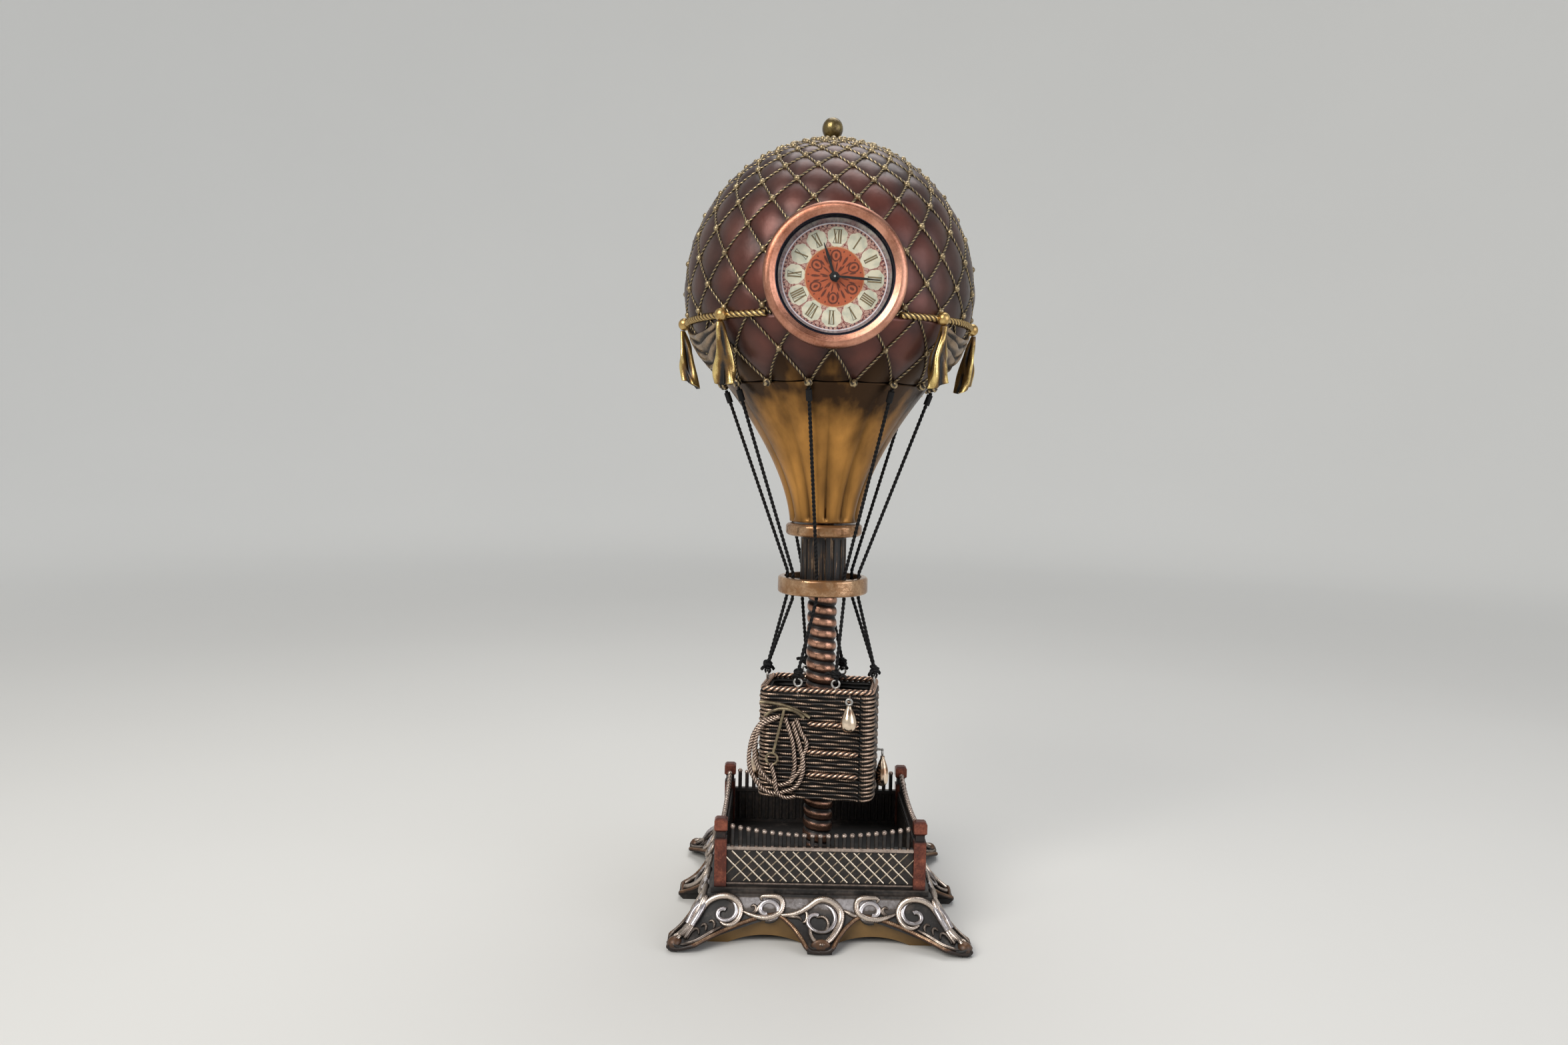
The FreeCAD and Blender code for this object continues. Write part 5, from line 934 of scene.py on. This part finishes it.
def clear_of_clock(places, gap):
    """Which places aren't behind the clock's seat."""
    return (np.hypot(places[:, 0], places[:, 2] - clock_height) > gap) | (places[:, 1] > 0)


def clear_parts(places):
    """The parts of a line that don't run behind the clock's seat."""
    free = clear_of_clock(places, 19.3)
    edges = np.flatnonzero(np.diff(free.astype(int))) + 1
    return [part for part, good in zip(np.split(places, edges), np.split(free, edges)) if good[0] and len(part) > 3]


net_finish = cast_finish("net_olive", (18, 14, 11), (78, 64, 48), (182, 162, 124), 0.75, (0.5, 0.28), 360.0, 0.34)
rises = np.linspace(rise_at(band_height), math.radians(82.5), 220)
low_heights = np.linspace(166.6, band_height, 40)
nets = ((upper_columns, 0.0, net_rows * np.log(np.tan(math.pi / 4 + rises / 2)) * 9.0, rises),
        (lower_columns, first_bead, (low_heights - bead_height) / 9.5 * 11.25, rise_at(low_heights)))
lines = []
for way in (-1, 1):
    for count, first, lean, rise in nets:
        for column in range(count):
            places = on_balloon(first + column * 360 / count + way * lean, rise, 0.42)
            lines += [(part, 0.41) for part in clear_parts(places)]
for column in range(lower_columns):
    bead = around(bead_reach + np.linspace(-1.3, 1.5, 15), first_bead + column * 22.5, bead_height)
    lines.append((bead, 1.35 * np.sqrt(1 - np.linspace(-0.97, 0.97, 15) ** 2)))
net = strands("balloon_net", lines, net_finish, Step=0.0004, Yarns=2, Turn=0.003, Groove=0.30, Sides=8)
settle(net, "gold_resin", "net_beads")
joints = []
for row in range(-1, 14):
    rise = 2 * math.atan(math.exp(row / net_rows)) - math.pi / 2
    if rise_at(band_height) < rise < math.radians(78):
        joints.append(on_balloon(np.arange(upper_columns) * 18.0 + (row % 2) * 9.0, rise, 0.5))
joints.append(on_balloon(np.arange(lower_columns) * 22.5, rise_at(175.5), 0.5))
joints = np.vstack(joints)
spots = bpy.data.meshes.new("knot_spots")
spots.from_pydata((joints[clear_of_clock(joints, 20.4)] / 1000).tolist(), [], [])
graph, size, end = new_tree("knots", {"Size": 0.00098})
blob = graph.node("GeometryNodeMeshUVSphere", {"Segments": 8, "Rings": 6, "Radius": size["Size"]})
end(graph.node("GeometryNodeInstanceOnPoints", {"Points": size["Geometry"], "Instance": store(blob, "raised", 0.75)}))
settle(grow("net_knots", graph, spots, net_finish), "gold_resin")

# Dressing: a rope band with gold knots on both sides of the clock and round the
# back, bronze swags hung between the knots and crumpled gold tails, all cast on.
band_gold = cast_finish("band_gold", (40, 28, 14), (132, 102, 56), (224, 192, 128), 0.85, (0.46, 0.24))
band = even_line(around(44.25, np.linspace(25.5, 334.5, 120), band_height), 0.4)
band = strands("band_of_rope", [(band, 0.98)], band_gold, Step=0.0003, Yarns=3, Turn=0.0056, Groove=0.34, Sides=18)
settle(band, "gold_resin", "band_rope")
dress(cast_finish("bead_gold", (44, 30, 15), (146, 110, 58), (232, 200, 134), 0.95, (0.42, 0.2), 600.0, 0.2,
                  cloudy(700.0, 0.5, 0.45, 2.0)), "swag_knots")

# a swag is a flat tube from one knot to the next: 49 rows of its face, then 9 of its back
u = (2 * np.arange(61) / 60 - 1)[:, None]
v = np.concatenate([np.arange(49) / 48, 1 - np.arange(1, 10) / 10])
face = np.arange(58) < 49
full = np.maximum(1 - u * u, 0.0)
edge = np.clip(np.minimum(v, 1 - v) / 0.05, 0.0, 1.0) ** 0.5 * face
top, bottom = 184.1 - 3.2 * full, 183.0 - 13.0 * full ** 0.75
height = top + (bottom - top) * v
skin_reach = balloon_reach * np.sqrt(np.maximum(1 - ((balloon_middle - height) / lower_drop) ** 2, 0))
swags, lifts = [], []
for middle in range(6):
    phase = rand.uniform(0, 6)
    fold = 3.3 * v + 0.35 * full + 0.16 * np.sin(3.1 * u + phase) + 0.10 * np.sin(7 * u - 5 * v)
    ridge = abs(np.sin(math.pi * fold)) ** 0.6
    crush = 0.14 * np.sin(11 * u + 8 * v + phase)
    out = np.where(face, edge * (0.8 + (1.55 * ridge + crush) * full ** 0.4 + 0.5 * v * full), -0.4)
    swags.append(around(skin_reach + out, 67.5 + 45 * middle + u * 20.2, height))
    lifts.append((ridge * 0.95 + crush) * edge)
swag_bronze = cast_finish("swag_bronze", (14, 11, 9), (56, 45, 37), (158, 136, 112), 0.82, (0.48, 0.26), 360.0,
                          0.28)
swags = add_tubes("draped_swags", swags, swag_bronze)
set_raised(swags, lifts)
settle(swags, "bronze_resin", "swags")

# a tail is a lobed bunch that widens downwards, its foot closed by three hollowed rings
levels = np.arange(46)[:, None]
turns = np.linspace(0, 2 * math.pi, 44, endpoint=False)
v = 1 - np.maximum(levels - 3, 0) / 42
hollow = np.ones((46, 1))
hollow[:3, 0] = 0.3, 0.6, 0.86
tails, lifts = [], []
for index in range(7):
    outward = around(1.0, 45.0 + 45 * index, 0.0)
    beside = np.array([-outward[1], outward[0], 0.0])
    phase = rand.uniform(0, 6)
    full = 1.0 + 2.1 * v ** 0.75 + 0.22 * np.sin(8 * v + phase)
    lobes = 0.30 * np.sin(3 * turns + 2.6 * v + phase) + 0.15 * np.sin(5 * turns - 5 * v + phase)
    lobes = lobes * np.minimum(1.0, 0.3 + 1.5 * v) + 0.08 * np.sin(2 * turns + 11 * v)
    wide = full * (1 + lobes) * hollow
    deep = 46.05 - 3.2 * v + 0.5 * np.sin(5 * v + phase) * v + 0.82 * wide * np.cos(turns)
    across = 0.7 * v * np.sin(3.5 * v + phase) + wide * np.sin(turns)
    height = 182.95 - 16.9 * v - 1.3 * v ** 3 * np.sin(turns + phase) + 1.6 * v ** 3 * (1 - hollow)
    tails.append(deep[..., None] * outward + across[..., None] * beside + height[..., None] * np.array([0, 0, 1]))
    lifts.append(np.where(hollow == 1, 0.45 + 1.4 * lobes, 0.0))
tail_gold = cast_finish("tail_gold", (14, 10, 7), (120, 88, 42), (250, 220, 146), 0.95, (0.44, 0.17), 460.0, 0.3)
tails = add_tubes("crumpled_tails", tails, tail_gold)
set_raised(tails, lifts)
settle(tails, "gold_resin", "swag_tails")

# Clock's front: a copper-washed bezel turned with a flat cone, a clear lens
# pressed in behind it and a silvered ring that leads down to the dial. It
# slides into the balloon's front with the rest of the insert.


def turned_metal(name, dark, light, line_scale, rough, shade):
    """Metal with fine rings round the clock's middle, left by the lathe, and a painted shade, dark navy, between two
    reaches, in the gap where the bezel meets the silvered ring.
    """
    paint = Finish(name)
    x, z = paint.axes(paint.place, "XZ")
    away = (x ** 2 + (z - clock_height / 1000) ** 2) ** 0.5
    inputs = {"W": away * line_scale, "Detail": 4.0}
    rings = paint.node("ShaderNodeTexNoise", inputs, noise_dimensions="1D")
    cloud, fine, patch = (paint.noise(paint.place, *grain) for grain in ((130.0,), (1800.0, 2.0), (48.0,)))
    share = rings * 0.5 + cloud * 0.7 + (fine - 0.5) * 0.25 + (patch - 0.5) * 0.6
    colour = paint.mix(paint.fade(share, 0.3, 0.9), dark, light)
    return paint.wear(Base_Color=paint.mix(paint.fade(away, *shade), colour, (38, 38, 52)), Metallic=0.95,
                      Roughness=rough + (cloud - 0.5) * 0.16 + (rings - 0.5) * 0.08,
                      Normal=paint.bump(0.35, 0.00006, rings + fine * 0.3))


# painted shade: a dark navy ring inside the bezel and round the silvered ring, where the two meet
dress(turned_metal("bezel_copper", (136, 78, 55), (228, 168, 142), 9000.0, 0.24, (0.0168, 0.0166)), "bezel")
dress(turned_metal("reflector_silver", (128, 126, 136), (226, 226, 236), 6000.0, 0.2, (0.0157, 0.0159)),
      "reflector_ring")
paint = Finish("clear_lens")
smear = paint.noise(paint.place, 90.0)
dress(paint.wear(Base_Color=paint.mix(smear, (34, 38, 44), (46, 50, 56)), Roughness=smear * 0.05 + 0.02,
                 Alpha=smear * 0.02 + 0.04), "lens")

# Dial: a printed card, cream with a terracotta medallion and its rosette, a
# reddish tracery and a ring of dots, and twelve lobed plaques with outlined
# roman numerals. Printed a little turned to the right in its case.
dial_turn = math.radians(3.0)
paint = Finish("dial_print")
x, z = paint.axes(paint.place, "XZ")
x, z = x * 1000, z * 1000 - clock_height
away = (x ** 2 + z ** 2) ** 0.5
turn = paint.math("ARCTAN2", x, z) - dial_turn


def petals(count, shift, radius, wide, deep):
    """Distance from the nearest of a ring of ovals: under 1 inside them."""
    step = 2 * math.pi / count
    beside = (((turn + shift + 40 * step) % step) - step / 2) * radius / wide
    return (beside ** 2 + ((away - radius) / deep) ** 2) ** 0.5


rosette = 1 - paint.fade(abs(petals(6, math.pi / 6, 5.9, 1.45, 1.7) - 0.86), 0.08, 0.2)
for ring in ((6, math.pi / 6, 5.9, 0.5, 0.9), (6, 0.0, 5.3, 0.42, 1.7), (12, 0.0, 5.2, 0.34, 1.2),
             (12, 0.13, 3.0, 0.26, 1.5), (6, 0.0, 2.6, 0.3, 1.1), (24, 0.1, 7.4, 0.26, 0.35)):
    rosette = rosette.math("MAXIMUM", 1 - paint.fade(petals(*ring), 0.6, 1.0))
grain, stain = paint.noise(paint.place, 1400.0), paint.noise(paint.place, 300.0, 2.0)
inputs = {"Vector": paint.place, "Scale": 900.0}
tracery = paint.node("ShaderNodeTexVoronoi", inputs, feature="DISTANCE_TO_EDGE")
medallion = paint.mix(rosette * 0.85, paint.mix(stain, (176, 84, 50), (200, 106, 66)), (72, 28, 16))
field = paint.mix(1 - paint.fade(tracery, 0.02, 0.10), (206, 166, 150), (132, 60, 56))
field = paint.mix(1 - paint.fade(petals(72, 0.0, 14.25, 0.34, 0.3), 0.6, 1.0), field, (70, 40, 52))
field = paint.mix(paint.fade(away, 14.62, 14.72), field, (238, 234, 236))
colour = paint.mix(paint.fade(away, 8.15, 8.25), medallion, field)
colour = paint.mix(paint.fade(abs(away - 8.35), 0.16, 0.08), colour, (212, 160, 110))
dress(paint.wear(Base_Color=colour, Roughness=grain * 0.2 + 0.4, Normal=paint.bump(0.2, 0.00003, grain)), "dial")


def on_dial(across, up, hour, lift):
    """Places on the dial's face: across and out along an hour's direction, a hair's breadth off the card."""
    across, up = np.array(across, float), np.array(up, float)
    turn = hour * math.pi / 6 + dial_turn
    x = across * math.cos(turn) + up * math.sin(turn)
    z = up * math.cos(turn) - across * math.sin(turn)
    return np.stack([x, np.full_like(x, -42.2 - lift), clock_height + z], axis=-1)


def flat_shapes(name, shapes, material, depth=0.02):
    """Flat printed shapes, each a closed line of places facing the front, with a thin edge."""
    points, faces = [], []
    for places in shapes:
        first, count = len(points), len(places)
        points += [*places, *(places + (0, depth, 0))]
        faces.append(tuple(range(first, first + count)))
        faces.append(tuple(range(first + count, first + 2 * count))[::-1])
        faces += [(first + i, first + count + i, first + count + j, first + j)
                  for i, j in zip(range(count), [*range(1, count), 0])]
    settle(add_piece(name, points, faces, material, smooth=False), "dial_card", body="clock_insert")


def printed(name, dark, light, scale, rough, detail=2.0, span=None):
    """A print's ink or card, a little worn."""
    paint = Finish(name)
    worn = paint.noise(paint.place, scale, detail)
    share = paint.fade(worn, *span) if span else worn
    return paint.wear(Base_Color=paint.mix(share, dark, light), Roughness=worn * 0.2 + rough)


angles = np.linspace(0, -2 * math.pi, 72, endpoint=False)
lobes = 0.97 + 0.085 * abs(np.sin(angles * 4))
wide, up = 2.72 * lobes * np.sin(angles) * (1 + 0.12 * np.cos(angles)), 11.15 + 2.75 * lobes * np.cos(angles)
flat_shapes("dial_plaques", [on_dial(wide, up, hour, 0.03) for hour in range(12)],
            printed("plaque_cream", (240, 234, 208), (206, 208, 186), 420.0, 0.4, 4.0, (0.35, 0.75)))

# numerals: each letter's width and its strokes as shares of it at the top and the foot, and their thickness;
# thick strokes are two dark lines with a gilt filling, thin ones a single line
letters = {"I": (0.62, [(0.5, 0.5, 0.40)]), "V": (1.15, [(0.14, 0.5, 0.40), (0.9, 0.5, 0.13)]),
           "X": (1.25, [(0.16, 0.84, 0.40), (0.88, 0.12, 0.13)])}
numeral_top, numeral_foot, serif = 13.15, 9.35, 0.06
bars = {"ink": [], "gilt": []}
for hour, word in enumerate(("XII", "I", "II", "III", "IIII", "V", "VI", "VII", "VIII", "IX", "X", "XI")):
    total = sum(letters[letter][0] for letter in word)
    left = -total / 2
    for letter in word:
        wide, strokes = letters[letter]
        for top, foot, thick in strokes:
            high, low = left + top * wide, left + foot * wide
            for kind, inset, lift in (("ink", 0.0, 0.05), ("gilt", 0.12, 0.06)):
                half = thick / 2 - inset
                if half > 0.02:
                    ends = [numeral_top - inset / 2] * 2 + [numeral_foot + inset / 2] * 2
                    sides = [high - half, high + half, low + half, low - half]
                    bars[kind].append(on_dial(sides, ends, hour, lift))
        left += wide
    for height in (numeral_top, numeral_foot):
        bars["ink"].append(on_dial([-total / 2, total / 2, total / 2, -total / 2],
                                   [height + serif, height + serif, height - serif, height - serif], hour, 0.05))
flat_shapes("dial_numerals", bars["ink"], printed("numeral_ink", (30, 22, 12), (62, 48, 28), 2200.0, 0.4))
flat_shapes("dial_numeral_fillings", bars["gilt"],
            printed("numeral_gilt", (150, 126, 78), (190, 166, 116), 1800.0, 0.35))

# Hands and works: two black hands, and behind the dial a plastic quartz
# movement with its cell, coil, stator and wheels in a black case with a rubber
# ring round it and a cover and a setting knob at its back.


def plain_finish(name, dark, light, scale, rough, metallic=0.0, over=None):
    """Moulded or stamped material with a slight grain and clouding."""
    paint = Finish(name)
    cloud, fine = paint.noise(paint.place, scale, 4.0), paint.noise(paint.place, scale * 9, 2.0)
    colour = paint.mix(paint.fade(cloud, 0.3, 0.7), dark, light)
    return paint.wear(Base_Color=over(paint, colour) if over else colour, Metallic=metallic,
                      Roughness=rough + (cloud - 0.5) * 0.2 + (fine - 0.5) * 0.08,
                      Normal=paint.bump(0.3, 0.00004, fine + cloud * 0.5))


def black_at_dial(paint, colour):
    """The hands' two tubes are blackened where they come out of the dial."""
    front, = paint.axes(paint.place, "Y")
    return paint.mix(paint.fade(front, -0.0418, -0.0422), colour, (10, 9, 9))


works = {
    ("hand_black", (8, 7, 7), (20, 18, 18), 700.0, 0.5): ("minute_hand", "hour_hand"),
    ("black_case", (18, 18, 20), (34, 34, 37), 260.0, 0.48): ("case_cup", "case_back", "setting_knob"),
    ("black_rubber_ring", (14, 14, 15), (30, 30, 31), 340.0, 0.75): ("gasket_ring",),
    ("white_nylon", (214, 212, 204), (234, 232, 226), 300.0, 0.4): (
        "main_plate", "train_bridge", "minute_wheel", "step_wheel", "seconds_wheel", "third_wheel", "centre_wheel",
        "rotor"),
    ("tube_nylon", (214, 212, 204), (234, 232, 226), 300.0, 0.4, 0.0, black_at_dial): ("hour_wheel", "cannon_pinion"),
    ("cell_steel", (168, 168, 170), (206, 206, 208), 500.0, 0.28, 1.0): ("battery", "stator"),
    ("contact_brass", (176, 138, 74), (220, 188, 120), 600.0, 0.28, 1.0): ("battery_contact",),
    ("board_green", (20, 62, 36), (34, 92, 52), 500.0, 0.42): ("circuit_board",),
    ("coil_wire", (122, 58, 30), (196, 112, 66), 2400.0, 0.32, 0.9): ("drive_coil",)}
for finish, names in works.items():
    dress(plain_finish(*finish), *names)

low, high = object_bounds()
{"cad": [list(cad_low), list(cad_high)], "visual": [list(low), list(high)]}
